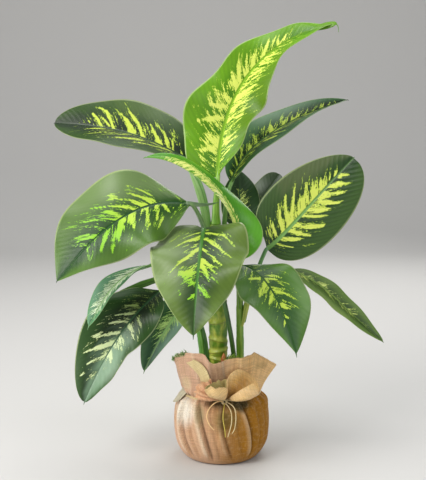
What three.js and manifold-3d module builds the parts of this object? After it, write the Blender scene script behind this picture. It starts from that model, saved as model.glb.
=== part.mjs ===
// A potted dieffenbachia: a ringed cane and two side shoots with fourteen large leaves, standing in the soil
// of a nursery pot that is wrapped in jute cloth and tied with raffia. Millimetres, +Z up, the front is -Y.
// The origin is on the floor under the middle of the pot.
import * as THREE from 'three';
import { mergeVertices } from 'three/addons/utils/BufferGeometryUtils.js';
import Module from 'manifold-3d';

const wasm = await Module();
wasm.setup();

// Driving dimensions
const gap = 0.3;               // air between two pieces that touch
const soilTop = 79;            // height of the soil
const rootEnd = 45;            // the stems reach down to here in the soil
const potFoot = { radius: 54, height: 1.7 };
const potRim = { radius: 68.5, height: 85, wall: 1.6, lip: 8, step: 2.5 };
const clothThickness = 1.4;
const neckHeight = 110;        // height of the tie round the gathered cloth
const bladeThickness = 0.9;
const stalkSides = 6;
const roundSides = 32;         // of the pot and the soil

// Leaves. Points are in mm and angles in degrees. The stalk runs from its seat over two handles to the foot of
// the blade, and the rib from there over two handles to the tip. Face says where the upper side looks, as a
// turn to the right of the front and a height above level, at the foot, middle and tip. The pairs are left and
// right. Wave is the height, count and start of the margin's waves, and ripple the same for the outline's
// swellings, as a share of the width. Tail is the length of the drip tip past the blade, and how far it bends.
const leaves = {
  leaf_top: {
    stalk: [[-9, 0, 392.3], [-10, 0, 420], [-8, 0, 445]], stalkRadius: [8.6, 6.4, 3.6],
    rib: [[-6, 0, 469], [-5, 25, 584], [43, 30, 689], [178, -20, 716]],
    face: [[-10, 12], [1, 25], [14, 42]], half: [67, 67], fold: [22, 38], cup: [10, 3],
    wide: [0.2, 0.43], full: [1.4, 1.8], lobe: -9, wave: [8, 3.9, 0], ripple: [0.1, 2.6, 0.5], tail: [17, 1],
  },
  leaf_upper_left: {
    stalk: [[-20, 2, 345], [-21, 2, 395], [-22, 4, 455]], stalkRadius: [3.6, 5.2, 3.2],
    rib: [[-59, 10, 501], [-144, 25, 546], [-183, 50, 552], [-283, 65, 558]],
    face: [[0, 52], [-4, 50], [-10, 42]], half: [54, 65], fold: [20, 18], cup: [5, 7],
    wide: [0.55, 0.4], full: [1.3, 0.9], lobe: 5, wave: [2, 2.3, -0.25], tail: [4, 0.5],
  },
  leaf_upper_right: {
    stalk: [[1, 6, 343], [6, 11, 385], [4, 14, 430]], stalkRadius: [3.4, 4.6, 3.2],
    rib: [[16, 20, 458], [33, 40, 525], [122, 80, 570], [219, 110, 597]],
    face: [[-22, 46], [-11, 51], [0, 58]], half: [38, 44], fold: [25, 34], cup: [11, 6],
    wide: [0.44, 0.45], full: [1.5, 1.5], lobe: -5, wave: [5, 1.5, 0.78], tail: [9, 0.5],
  },
  leaf_crossing: {
    stalk: [[2, -12, 300], [9, -25, 325], [20, -25, 343]], stalkRadius: [3.4, 4.6, 3.2],
    rib: [[28, -20, 356], [47, -22, 393], [-34, -70, 531], [-118, -110, 509]],
    face: [[-20, 63], [-22, 59], [-24, 57]], half: [27, 38], fold: [20, 21], cup: [16, 22],
    wide: [0.4, 0.2], full: [1.3, 1.3], lobe: 14, wave: [12, 0.7, 0.15], tail: [5, 0.5],
  },
  leaf_left: {
    stalk: [[-17, -9, 338], [-22, -18, 375], [-34, -32, 412]], stalkRadius: [3.4, 4.6, 3.2],
    rib: [[-48, -45, 431], [-128, -75, 448], [-185, -110, 408], [-254, -125, 320]],
    face: [[-3, 37], [-9, 19], [-27, 15]], half: [66, 79], fold: [10, 3], cup: [11, 14],
    wide: [0.43, 0.54], full: [1.5, 1.9], lobe: -7, wave: [15, 2, 0.34], tail: [5, 0.5],
    ear: { tip: [-4, -26, 432], radius: 3.1 },
  },
  leaf_front: {
    stalk: [[27, -6, rootEnd], [33, -6, 180], [-8, -50, 330]], stalkRadius: [3.6, 4.2, 3.4],
    rib: [[-28, -60, 394], [-33, -120, 383], [-40, -175, 316], [-43, -195, 251]],
    face: [[-1, 62], [-1, 43], [-3, 25]], half: [75, 78], fold: [14, 4], cup: [16, 21],
    wide: [0.31, 0.34], full: [1.3, 1.3], lobe: 12, wave: [12, 2.5, 0], tail: [9, 0.5],
  },
  leaf_right: {
    stalk: [[38, 6, 225], [42, 4, 262], [60, 2, 320]], stalkRadius: [3.2, 4.2, 3.2],
    rib: [[75, 5, 351], [94, 10, 358], [152, 20, 430], [220, 20, 502]],
    face: [[3, 16], [1, 22], [0, 28]], half: [68, 66], fold: [12, 3], cup: [6, 11],
    wide: [0.5, 0.6], full: [1.3, 1], lobe: -4, wave: [1, 2, -0.11], tail: [5, 0.5],
  },
  leaf_back: {
    stalk: [[-4, 13, 316], [0, 23, 345], [12, 20, 368]], stalkRadius: [3.2, 3.8, 2.8],
    rib: [[23, 22, 384], [31, 48, 408], [34, 76, 440], [31, 95, 476]],
    face: [[10, 40], [10, 40], [10, 40]], half: [33, 37], fold: [15, 15], cup: [10, 10],
    wide: [0.43, 0.41], full: [1.3, 1.4], lobe: 0, wave: [2, 2, -0.47], tail: [4, 0.5],
  },
  leaf_far_back: {
    stalk: [[-14, 12, 322], [-16, 46, 350], [20, 62, 385]], stalkRadius: [3.2, 3.8, 2.8],
    rib: [[46, 68, 396], [58, 98, 408], [80, 132, 432], [106, 165, 464]],
    face: [[20, 50], [19, 57], [20, 61]], half: [27, 26], fold: [16, 17], cup: [10, 9],
    wide: [0.55, 0.51], full: [0.9, 1], lobe: 0, wave: [3, 2, 0.36], tail: [4, 0.5],
  },
  leaf_slim_left: {
    stalk: [[-41, -8, 226], [-53, -27, 270], [-88, -31, 326]], stalkRadius: [3.2, 3.8, 2.8],
    rib: [[-114, -25, 330], [-175, -45, 314], [-188, -70, 282], [-212, -80, 239]],
    face: [[-2, 62], [-13, 54], [-22, 41]], half: [17, 25], fold: [28, 12], cup: [3, 11],
    wide: [0.49, 0.54], full: [1.4, 1.6], lobe: -16, wave: [2, 1.7, 0.21], tail: [10, 0.5],
  },
  leaf_low_left: {
    stalk: [[-51, -3, 262], [-59, -4, 288], [-82, -6, 294]], stalkRadius: [4.6, 4.2, 3],
    rib: [[-100, -10, 284], [-132, -35, 260], [-174, -65, 227], [-223, -70, 110]],
    face: [[4, 41], [-2, 32], [-8, 22]], half: [42, 60], fold: [15, 13], cup: [8, 9],
    wide: [0.42, 0.55], full: [1.1, 1.3], lobe: -11, wave: [9, 1.5, 0.13], tail: [7, 0.5],
  },
  leaf_small_left: {
    stalk: [[-36, 4, 210], [-40, 14, 230], [-47, 13, 248]], stalkRadius: [3, 3.4, 2.6],
    rib: [[-56, 8, 254], [-66, -2, 252], [-92, -22, 231], [-128, -30, 151]],
    face: [[0, 50], [-1, 40], [-2, 31]], half: [22, 36], fold: [17, 15], cup: [9, 10],
    wide: [0.41, 0.51], full: [1.4, 1.3], lobe: 0, wave: [4, 1.9, -0.42], tail: [7, 0.5],
  },
  leaf_low_right: {
    stalk: [[32, 1, 250], [30, -12, 285], [30, -26, 320]], stalkRadius: [3.2, 4, 3],
    rib: [[33, -35, 330], [72, -62, 322], [93, -92, 285], [117, -105, 200]],
    face: [[1, 59], [4, 41], [13, 22]], half: [60, 58], fold: [3, 20], cup: [21, 12],
    wide: [0.5, 0.32], full: [1.7, 1.5], lobe: -10, wave: [7, 2.4, -0.53], tail: [9, 0.5],
  },
  leaf_far_right: {
    stalk: [[38, 12, 238], [44, 22, 285], [80, 12, 320]], stalkRadius: [3.2, 4, 3],
    rib: [[108, 10, 316], [178, 20, 294], [203, 40, 246], [281, 50, 181]],
    face: [[-1, 52], [4, 50], [11, 53]], half: [20, 32], fold: [29, 23], cup: [10, 12],
    wide: [0.53, 0.41], full: [1.2, 1.3], lobe: -8, wave: [1.5, 3, -0.06], tail: [5, 0.5],
  },
};

const clamp = THREE.MathUtils.clamp;
const radians = THREE.MathUtils.degToRad;
const vector = (p) => new THREE.Vector3(...p);
const mix = (a, b, t) => a + (b - a) * t;

// Solids and meshes

function solidOf(geometry) {
  const bare = geometry.clone();
  bare.deleteAttribute('normal');
  bare.deleteAttribute('uv');
  const merged = mergeVertices(bare, 1e-4);
  return new wasm.Manifold(new wasm.Mesh({
    numProp: 3,
    vertProperties: new Float32Array(merged.attributes.position.array),
    triVerts: new Uint32Array(merged.index.array),
  }));
}

function geometryOf(solid) {
  const mesh = solid.getMesh();
  const geometry = new THREE.BufferGeometry();
  geometry.setAttribute('position', new THREE.BufferAttribute(new Float32Array(mesh.vertProperties), 3));
  geometry.setIndex(new THREE.BufferAttribute(new Uint32Array(mesh.triVerts), 1));
  return geometry;
}

function meshGeometry(points, faces) {
  const geometry = new THREE.BufferGeometry();
  geometry.setAttribute('position', new THREE.Float32BufferAttribute(points.flatMap((p) => p.toArray()), 3));
  geometry.setIndex(faces.flat());
  return geometry;
}

const plant = new THREE.Group();

function addNode(name, geometry, colour, roughness) {
  const flat = geometry.index ? geometry.toNonIndexed() : geometry;
  flat.computeVertexNormals();
  const material = new THREE.MeshStandardMaterial({ color: colour, roughness, metalness: 0 });
  const mesh = new THREE.Mesh(flat, material);
  mesh.name = name;
  plant.add(mesh);
}

// A round rod along a line of points, with its own radius at each point and both ends closed. Each ring's
// frame is the last one's, turned by as much as the line bends.
function rod(points, radii, sides) {
  const rings = [];
  let across = null;
  points.forEach((point, i) => {
    const before = points[Math.max(i - 1, 0)];
    const after = points[Math.min(i + 1, points.length - 1)];
    const along = after.clone().sub(before).normalize();
    if (!across) across = Math.abs(along.z) > 0.7 ? new THREE.Vector3(1, 0, 0) : new THREE.Vector3(0, 0, 1);
    across = across.clone().addScaledVector(along, -across.dot(along)).normalize();
    const third = along.clone().cross(across);
    for (let k = 0; k < sides; k += 1) {
      const turn = (2 * Math.PI * k) / sides;
      rings.push(point.clone()
        .addScaledVector(across, radii[i] * Math.cos(turn))
        .addScaledVector(third, radii[i] * Math.sin(turn)));
    }
  });
  const faces = [];
  for (let i = 0; i + 1 < points.length; i += 1) {
    for (let k = 0; k < sides; k += 1) {
      const a = i * sides + k;
      const b = i * sides + ((k + 1) % sides);
      faces.push([a, b, b + sides], [a, b + sides, a + sides]);
    }
  }
  const last = (points.length - 1) * sides;
  for (let k = 1; k + 1 < sides; k += 1) {
    faces.push([0, k + 1, k], [last, last + k, last + k + 1]);
  }
  return meshGeometry(rings, faces);
}

// A round body from a profile of radius and height, turned to stand upright.
function upright(profile, sides) {
  const line = profile.map(([r, z]) => new THREE.Vector2(r, z));
  return new THREE.LatheGeometry(line, sides).rotateX(radians(90));
}

// Leaves

// Half the width of a blade at a share s of its rib: it grows from the foot, is widest at the share wide, and
// runs out to the tip. A larger value of full makes both ends more pointed.
function outline(s, wide, full) {
  return (s / wide) ** (full * wide) * ((1 - s) / (1 - wide)) ** (full * (1 - wide));
}

// The upper side's direction at s, a parabola through the three stated turns and heights.
function facing(face, s) {
  const weights = [2 * (s - 0.5) * (s - 1), -4 * s * (s - 1), 2 * s * (s - 0.5)];
  const turn = radians(weights.reduce((sum, w, i) => sum + w * face[i][0], 0));
  const height = radians(weights.reduce((sum, w, i) => sum + w * face[i][1], 0));
  return new THREE.Vector3(
    Math.sin(turn) * Math.cos(height), -Math.cos(turn) * Math.cos(height), Math.sin(height));
}

// A point of the blade at the share s of the rib and the share q of the half width, right of the rib where q is
// over zero. Each half leaves the rib at its fold angle and bends back down by its cup angle towards the
// margin. The margin waves up and down, and the lobes lie behind the foot. Lift is the height over the middle
// surface.
function bladePoint(leaf, s, q, lift) {
  const curve = new THREE.CubicBezierCurve3(...leaf.rib.map(vector));
  const along = curve.getTangent(s);
  const up = facing(leaf.face, s);
  up.addScaledVector(along, -up.dot(along)).normalize();
  const side = along.clone().cross(up);
  const hand = q > 0 ? 1 : 0;
  const reach = Math.abs(q);
  const [swell, swells, begin] = leaf.ripple ?? [0, 0, 0];
  const form = outline(s, leaf.wide[hand], leaf.full[hand])
    * (1 + swell * Math.sin(2 * Math.PI * (swells * s + begin + hand / 2)));
  const width = leaf.half[hand] * form;
  const fold = radians(leaf.fold[hand]);
  const cup = radians(leaf.cup[hand]);
  const slope = fold - cup * reach;
  const out = (Math.sin(fold) - Math.sin(slope)) / cup;
  const rise = (Math.cos(slope) - Math.cos(fold)) / cup;
  const [height, count, start] = leaf.wave;
  const wave = height * reach ** 2 * form * Math.sin(2 * Math.PI * (count * s + hand / 4 + start));
  const lobe = -leaf.lobe * (1 - s) ** 3 * reach ** 2;
  const lean = q === 0 ? 0 : slope;
  return curve.getPoint(s)
    .addScaledVector(side, Math.sign(q) * (out * width - lift * Math.sin(lean)))
    .addScaledVector(up, rise * width + wave + lift * Math.cos(lean))
    .addScaledVector(along, lobe);
}

// The rows of a blade stand closer where its outline turns fast, and the columns closer at the rib, which is
// thicker on the underside.
const bladeRows = [0.03, 0.1, 0.2, 0.3, 0.4, 0.5, 0.61, 0.72, 0.82, 0.91, 0.975];
const bladeColumns = [-1, -0.55, -0.06, 0, 0.06, 0.55, 1];
const ribDepth = 2.2;

function bladeGeometry(leaf) {
  const half = bladeThickness / 2;
  const points = [];
  const wide = bladeColumns.length;
  for (const face of [1, -1]) {
    for (const s of bladeRows) {
      for (const q of bladeColumns) {
        const keel = face < 0 && q === 0 ? ribDepth * (1 - s) : 0;
        points.push(bladePoint(leaf, s, q, face * half - keel));
      }
    }
    points.push(bladePoint(leaf, 0, 0, face * half));
    points.push(bladePoint(leaf, 1, 0, face * half));
  }
  const layer = bladeRows.length * wide + 2;
  const foot = layer - 2;
  const tip = layer - 1;
  const faces = [];
  const both = (a, b, c) => faces.push([a, b, c], [a + layer, c + layer, b + layer]);
  for (let i = 0; i + 1 < bladeRows.length; i += 1) {
    for (let k = 0; k + 1 < wide; k += 1) {
      const a = i * wide + k;
      const left = bladeColumns[k] < 0;
      if (left) {
        both(a, a + 1, a + wide + 1);
        both(a, a + wide + 1, a + wide);
      } else {
        both(a, a + 1, a + wide);
        both(a + 1, a + wide + 1, a + wide);
      }
    }
  }
  const lastRow = (bladeRows.length - 1) * wide;
  for (let k = 0; k + 1 < wide; k += 1) {
    both(foot, k + 1, k);
    both(tip, lastRow + k, lastRow + k + 1);
  }
  const rim = [foot];
  for (let i = 0; i < bladeRows.length; i += 1) rim.push(i * wide + wide - 1);
  rim.push(tip);
  for (let i = bladeRows.length - 1; i >= 0; i -= 1) rim.push(i * wide);
  rim.forEach((a, i) => {
    const b = rim[(i + 1) % rim.length];
    faces.push([a, a + layer, b + layer], [a, b + layer, b]);
  });
  return meshGeometry(points, faces);
}

// The stalk runs on a short way under the rib, so that blade and stalk are one.
function stalkGeometry(leaf, grow) {
  const path = new THREE.CubicBezierCurve3(...leaf.stalk.map(vector), vector(leaf.rib[0]));
  const [seat, body, neck] = leaf.stalkRadius;
  const points = [];
  const radii = [];
  const steps = leaf.stalk[0][2] < soilTop ? 12 : 7;
  for (let i = 0; i <= steps; i += 1) {
    const t = i / steps;
    points.push(path.getPoint(t));
    radii.push(grow + (t < 0.2 ? mix(seat, body, t / 0.2) : mix(body, neck, (t - 0.2) / 0.8)));
  }
  for (const s of [0.06, 0.15]) {
    const radius = neck * (1 - 4 * s);
    points.push(bladePoint(leaf, s, 0, -radius));
    radii.push(radius + grow);
  }
  if (grow > 0) {
    const down = points[0].clone().sub(points[1]).normalize();
    points[0].addScaledVector(down, grow);
  }
  return rod(points, radii, stalkSides);
}

// The drip tip: a slender end that runs on from the rib and bends down.
function tailGeometry(leaf) {
  const [length, bend] = leaf.tail;
  const tip = bladePoint(leaf, 1, 0, 0);
  const along = tip.clone().sub(bladePoint(leaf, 0.97, 0, 0)).normalize();
  const points = [-0.5, 0, 0.5, 1].map((t) => {
    const past = Math.max(t, 0);
    const point = tip.clone().addScaledVector(along, length * t * (1 - 0.5 * bend * past));
    point.z -= 0.9 * length * bend * past ** 2;
    return point;
  });
  return rod(points, [1, 0.95, 0.7, 0.35], 5);
}

function leafSolid(leaf) {
  const pieces = [bladeGeometry(leaf), stalkGeometry(leaf, 0), tailGeometry(leaf)].map(solidOf);
  let solid = pieces[0].add(pieces[1]).add(pieces[2]);
  if (leaf.ear) {
    const foot = vector(leaf.rib[0]);
    const tip = vector(leaf.ear.tip);
    const steps = [-0.15, 0.15, 0.4, 0.7, 1];
    const sag = 2.5;
    const points = steps.map((t) => foot.clone().lerp(tip, t)
      .add(new THREE.Vector3(0, 0, -sag * Math.sin(Math.PI * t))));
    const radii = steps.map((t) => leaf.ear.radius * (1.02 - clamp(t, 0, 0.9)));
    solid = solid.add(solidOf(rod(points, radii, stalkSides)));
  }
  return solid;
}

// Stems

// The cane's joints: each is a low collar over a slight waist. They stand closer towards the soil.
const caneJoints = [96, 121, 145, 164, 180, 197, 230, 266, 303, 342];
const caneTop = 392;
const caneBody = { radius: 15.6, topRadius: 9.4, taperFrom: 250, collar: 1.5, waist: 0.7, sides: 12 };

function caneRadius(z) {
  const taper = clamp((z - caneBody.taperFrom) / (caneTop - caneBody.taperFrom), 0, 1);
  const body = mix(caneBody.radius, caneBody.topRadius, taper);
  const nearest = caneJoints.reduce((best, j) => (Math.abs(j - z) < Math.abs(best - z) ? j : best));
  const collar = caneBody.collar * Math.exp(-(((z - nearest) / 3.4) ** 2));
  const waist = caneBody.waist * Math.exp(-(((z - nearest - 6.5) / 4) ** 2));
  return body + collar - waist;
}

function caneGeometry(grow) {
  const heights = [rootEnd - grow, 70];
  for (const joint of caneJoints) heights.push(joint - 6, joint, joint + 6);
  heights.push(370, caneTop + grow);
  const points = heights.map((z) => new THREE.Vector3(mix(-5, -9, clamp((z - 200) / 180, 0, 1)), 0, z));
  return rod(points, heights.map((z) => caneRadius(z) + grow), caneBody.sides);
}

// A side shoot: a line of points with a radius at each.
const shoots = {
  shoot_left: {
    line: [[-31, 3, rootEnd], [-31, 2, 110], [-32, 0, 171], [-37, -1, 212], [-44, -2, 240], [-51.5, -3, 264]],
    radii: [5, 5.4, 5.2, 5.2, 5.2, 4.8],
  },
  shoot_right: {
    line: [
      [34, 6, rootEnd], [33, 7, 110], [32, 8, 170], [31.5, 8, 220], [31, 8, 263], [30, 7, 296], [29, 6, 322],
    ],
    radii: [6, 6.6, 6.4, 6.2, 5.6, 4.2, 1],
  },
};

function shootGeometry(shoot, grow) {
  const line = new THREE.CatmullRomCurve3(shoot.line.map(vector));
  const steps = 10;
  const points = [];
  const radii = [];
  for (let i = 0; i <= steps; i += 1) {
    const t = i / steps;
    const place = t * (shoot.radii.length - 1);
    const low = Math.min(Math.floor(place), shoot.radii.length - 2);
    points.push(line.getPoint(t));
    radii.push(mix(shoot.radii[low], shoot.radii[low + 1], place - low) + grow);
  }
  points[0].z -= grow;
  points[steps].z += grow;
  return rod(points, radii, 8);
}

// The bud at the foot of the cane: a pointed drop that lies on the bark.
const bud = { place: [4, -19, 158], radius: 4.2, length: 15, lean: -4 };

function budGeometry() {
  const shape = [[0, 0], [0.7, 0.08], [1, 0.32], [0.85, 0.58], [0.4, 0.85], [0, 1]];
  const geometry = upright(shape.map(([r, z]) => [r * bud.radius, z * bud.length]), 9);
  geometry.rotateX(radians(bud.lean));
  geometry.translate(...bud.place);
  return geometry;
}

// Holder

// The cloth's outline from the foot to the neck, as radius and height.
const clothBody = [
  [57, 0], [63.5, 3], [71, 13], [77, 30], [79, 50], [78.5, 70], [75, 88], [69, 100], [63.5, neckHeight],
];
const around = 48;
const pleats = 12;
// How far the pleats stand out on the body, at the neck and at the upper edge, and where they begin and are full.
const pleatDepth = { body: 2.4, neck: 1.2, edge: 5, from: 12, full: 100 };

// The upper edge of the gathered cloth, as turn, radius and height. A turn of 0 is at the right and 270 in
// front. The corners of the square stand up at 208 to 230 and at 318 and lean out at 352, and the edge is low
// at the back.
const clothEdge = [
  [12, 86, 150], [40, 78, 144], [70, 77, 143], [100, 82, 147], [130, 78, 144], [160, 77, 149], [180, 77, 158],
  [195, 81, 171], [208, 86, 181], [230, 82, 187], [249, 77, 181], [263, 74, 173], [285, 75, 170],
  [302, 75, 177], [318, 78, 189], [334, 87, 174], [352, 98, 157],
];
const edgeRows = 3;

// The cloth is drawn in at the knot in front: how deep at the neck, from which height and how wide.
const draw = { depth: 8, from: 84, width: 22 };

function awayFrom(turn, degrees) {
  return Math.abs(((degrees - turn + 540) % 360) - 180);
}

// The radius and height of the upper edge at a turn, eased from one entry of its list to the next.
function edgeAt(degrees) {
  const turn = (degrees + 360 - clothEdge[0][0]) % 360;
  const turns = clothEdge.map((entry) => entry[0] - clothEdge[0][0]);
  const at = turns.findLastIndex((t) => t <= turn);
  const next = (at + 1) % clothEdge.length;
  const span = (next === 0 ? 360 : turns[next]) - turns[at];
  const t = (turn - turns[at]) / span;
  const ease = t * t * (3 - 2 * t);
  return [1, 2].map((i) => mix(clothEdge[at][i], clothEdge[next][i], ease));
}

// The cloth at a station from foot to upper edge, and a turn. It falls in pleats that deepen towards the neck.
function clothPoint(station, degrees, inset) {
  const turn = radians(degrees);
  const pleat = 0.7 * Math.cos(pleats * turn) + 0.3 * Math.cos(2 * pleats * turn + 1.3);
  const neck = clothBody.length - 1;
  const drawn = draw.depth * Math.exp(-((awayFrom(270, degrees) / draw.width) ** 2));
  let radius;
  let height;
  if (station <= neck) {
    [radius, height] = clothBody[station];
    const depth = station === neck ? pleatDepth.neck : pleatDepth.body;
    radius += pleat * depth * clamp((height - pleatDepth.from) / (pleatDepth.full - pleatDepth.from), 0, 1);
    radius -= drawn * clamp((height - draw.from) / (neckHeight - draw.from), 0, 1);
  } else {
    const t = (station - neck) / edgeRows;
    const [edgeRadius, edgeHeight] = edgeAt(degrees);
    radius = mix(clothBody[neck][0] - drawn, edgeRadius, t ** 0.8)
      + pleat * mix(pleatDepth.neck, pleatDepth.edge, t);
    height = mix(neckHeight, edgeHeight, t);
  }
  radius -= inset;
  return new THREE.Vector3(radius * Math.cos(turn), radius * Math.sin(turn), height);
}

function clothGeometry(grow) {
  const stations = clothBody.length + edgeRows;
  const points = [];
  for (let i = 0; i < stations; i += 1) {
    for (let k = 0; k < around; k += 1) points.push(clothPoint(i, (360 * k) / around, -grow));
  }
  const inner = stations * around;
  const insideLift = [clothThickness, 0.8 * clothThickness, 0.4 * clothThickness];
  for (let i = 0; i < stations; i += 1) {
    for (let k = 0; k < around; k += 1) {
      const point = clothPoint(i, (360 * k) / around, clothThickness);
      point.z += insideLift[i] ?? 0;
      points.push(point);
    }
  }
  const foot = points.length;
  points.push(new THREE.Vector3(0, 0, 0), new THREE.Vector3(0, 0, clothThickness));
  const faces = [];
  for (let k = 0; k < around; k += 1) {
    const next = (k + 1) % around;
    faces.push([foot, next, k], [foot + 1, inner + k, inner + next]);
    for (let i = 0; i + 1 < stations; i += 1) {
      const a = i * around + k;
      const b = i * around + next;
      faces.push([a, b, b + around], [a, b + around, a + around]);
      faces.push([inner + a, inner + b + around, inner + b]);
      faces.push([inner + a, inner + a + around, inner + b + around]);
    }
    const edge = (stations - 1) * around;
    faces.push([edge + k, edge + next, inner + edge + next], [edge + k, inner + edge + next, inner + edge + k]);
  }
  return meshGeometry(points, faces);
}

// The folds in front, which spring from the neck above the knot. Each is a fan of rays as seen from the front:
// turns are the directions of its first and last ray, and reach the lengths of rays spread evenly between them.
// Forward is how far the ends of the first and last ray come to the front, hollow the depth of the scoop, and
// frill the height and count of its ripples.
const folds = {
  petal: {
    root: [8, -57, 113], turns: [80, -5], reach: [50, 60, 60, 58, 50, 28],
    forward: [20, 32], hollow: 6, frill: [0, 0],
  },
  rosette: {
    root: [4, -57, 114], turns: [176, 100], reach: [36, 44, 47, 42, 34],
    forward: [17, 15], hollow: 2, frill: [3.5, 3],
  },
};

function foldPoint(fold, a, v, lift) {
  const turn = radians(mix(...fold.turns, a));
  const place = a * (fold.reach.length - 1);
  const low = Math.min(Math.floor(place), fold.reach.length - 2);
  const reach = mix(fold.reach[low], fold.reach[low + 1], place - low) * mix(0.12, 1, v);
  const scoop = fold.hollow * Math.sin(Math.PI * a) * Math.sin(Math.PI * v);
  const ripple = fold.frill[0] * v * Math.sin(2 * Math.PI * fold.frill[1] * a);
  const forward = mix(...fold.forward, a) * v - scoop + ripple;
  const out = new THREE.Vector3(reach * Math.cos(turn), lift - forward, reach * Math.sin(turn));
  return vector(fold.root).add(out);
}

// The tie: a ring round the neck with a knot in front, and four loose ends of raffia that hang from the knot.
const tieRadius = 1.7;
const tieOff = 2.9;            // from the cloth to the middle of the ring
const knot = { place: [5, -62.3, 108.3], half: [5.5, 3.9, 3.6] };
const endRadius = 0.8;
const tieEnds = {
  tie_end_left: [
    [0.9, -65.1, 109.6], [-3, -67.6, 110.8], [-7.4, -70.6, 110.8], [-11.8, -73.8, 109.3], [-15.8, -76.6, 106.7],
    [-19.3, -78.8, 103.2], [-21.9, -80.4, 99], [-23.5, -81.5, 94.5], [-24, -82.5, 90], [-23.5, -83, 85.5],
    [-22, -83.5, 81], [-20, -84, 77], [-17.5, -84, 73.5], [-15, -84, 70.5], [-12.5, -84, 68],
  ],
  tie_end_middle: [
    [4.6, -65.4, 105.6], [4.2, -68.4, 102.7], [3.6, -71.6, 99.8], [3, -74.6, 96.8], [2.5, -77.3, 93.4],
    [2.2, -79.6, 89.6], [2.2, -81.5, 85.4], [2.8, -82.8, 81.1], [3.5, -83.6, 77], [4.2, -84.2, 73],
    [5, -84.5, 69], [5.5, -84.6, 65], [5.8, -84.5, 61.5], [6, -84.3, 58.5], [6, -84, 56],
  ],
  tie_end_right: [
    [8.9, -65.5, 108.4], [12.2, -69.2, 108], [15.6, -73, 107], [18.6, -76.3, 105], [20.9, -79, 102],
    [22.2, -81, 98], [22.8, -82.3, 93.5], [23, -83.2, 89], [22.9, -83.8, 84.5], [22.6, -84.2, 80],
    [22, -84.4, 75.5], [21.2, -84.5, 71.5], [20, -84.4, 68], [18.6, -84.2, 65], [17, -84, 62.5],
  ],
  tie_end_inner: [
    [7.1, -65.6, 106.1], [9.4, -69, 104.5], [11.7, -72.5, 102.5], [13.6, -75.6, 100], [15, -78.3, 97],
    [15.8, -80.3, 93.5], [16.2, -81.8, 89.5], [16.3, -82.8, 85], [16, -83.6, 80.5], [15.3, -84.2, 76],
    [14.2, -84.6, 71.5], [13, -84.8, 67], [11.8, -84.8, 63], [10.8, -84.6, 59.5], [10, -84.3, 56.5],
  ],
};

function ringGeometry() {
  const sides = 6;
  const neck = clothBody.length - 1;
  const points = [];
  for (let k = 0; k < around; k += 1) {
    const middle = clothPoint(neck, (360 * k) / around, -tieOff);
    const outward = new THREE.Vector3(middle.x, middle.y, 0).normalize();
    for (let j = 0; j < sides; j += 1) {
      const turn = (2 * Math.PI * j) / sides;
      const point = middle.clone().addScaledVector(outward, tieRadius * Math.cos(turn));
      point.z += tieRadius * Math.sin(turn);
      points.push(point);
    }
  }
  const faces = [];
  for (let k = 0; k < around; k += 1) {
    for (let j = 0; j < sides; j += 1) {
      const next = ((k + 1) % around) * sides;
      const a = k * sides + j;
      const b = k * sides + ((j + 1) % sides);
      const c = next + ((j + 1) % sides);
      const d = next + j;
      faces.push([a, d, c], [a, c, b]);
    }
  }
  return meshGeometry(points, faces);
}

// A loose end: an eight-sided section swept along its points.
function endGeometry(route) {
  const section = new THREE.Shape();
  for (let k = 0; k < 8; k += 1) {
    const turn = (2 * Math.PI * k) / 8;
    const at = [endRadius * Math.cos(turn), endRadius * Math.sin(turn)];
    if (k === 0) section.moveTo(...at);
    else section.lineTo(...at);
  }
  const extrudePath = new THREE.CatmullRomCurve3(route.map(vector));
  return new THREE.ExtrudeGeometry(section, { steps: route.length - 1, bevelEnabled: false, extrudePath });
}

const foldSteps = { rays: 10, along: 5 };

// A thin curved sheet between two parameters that run from 0 to 1, closed all round.
function sheetGeometry(at, rows, columns, thickness) {
  const points = [];
  const wide = columns + 1;
  for (const lift of [-thickness / 2, thickness / 2]) {
    for (let i = 0; i <= rows; i += 1) {
      for (let k = 0; k <= columns; k += 1) points.push(at(i / rows, k / columns, lift));
    }
  }
  const layer = (rows + 1) * wide;
  const faces = [];
  for (let i = 0; i < rows; i += 1) {
    for (let k = 0; k < columns; k += 1) {
      const a = i * wide + k;
      faces.push([a, a + wide + 1, a + 1], [a, a + wide, a + wide + 1]);
      faces.push([a + layer, a + layer + 1, a + layer + wide + 1]);
      faces.push([a + layer, a + layer + wide + 1, a + layer + wide]);
    }
  }
  const rim = [];
  for (let k = 0; k < columns; k += 1) rim.push(k);
  for (let i = 0; i < rows; i += 1) rim.push(i * wide + columns);
  for (let k = columns; k > 0; k -= 1) rim.push(rows * wide + k);
  for (let i = rows; i > 0; i -= 1) rim.push(i * wide);
  rim.forEach((a, i) => {
    const b = rim[(i + 1) % rim.length];
    faces.push([a, b, b + layer], [a, b + layer, a + layer]);
  });
  return meshGeometry(points, faces);
}

// Assembly

const cane = solidOf(caneGeometry(0));
const grownCane = solidOf(caneGeometry(gap));
addNode('cane_main', geometryOf(cane), 0x86a03a, 0.5);

const shootSolids = {};
for (const [name, shoot] of Object.entries(shoots)) {
  shootSolids[name] = solidOf(shootGeometry(shoot, 0));
  addNode(name, geometryOf(shootSolids[name]), 0x4f8f2c, 0.45);
}
const grownShoots = Object.values(shoots).map((shoot) => solidOf(shootGeometry(shoot, gap)));

for (const [name, leaf] of Object.entries(leaves)) {
  let solid = leafSolid(leaf).subtract(grownCane);
  for (const grown of grownShoots) solid = solid.subtract(grown);
  addNode(name, geometryOf(solid), name === 'leaf_top' ? 0x6fa51c : 0x3f6b2b, 0.45);
}

addNode('cane_bud', geometryOf(solidOf(budGeometry()).subtract(grownCane)), 0x8a4a2a, 0.6);

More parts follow.
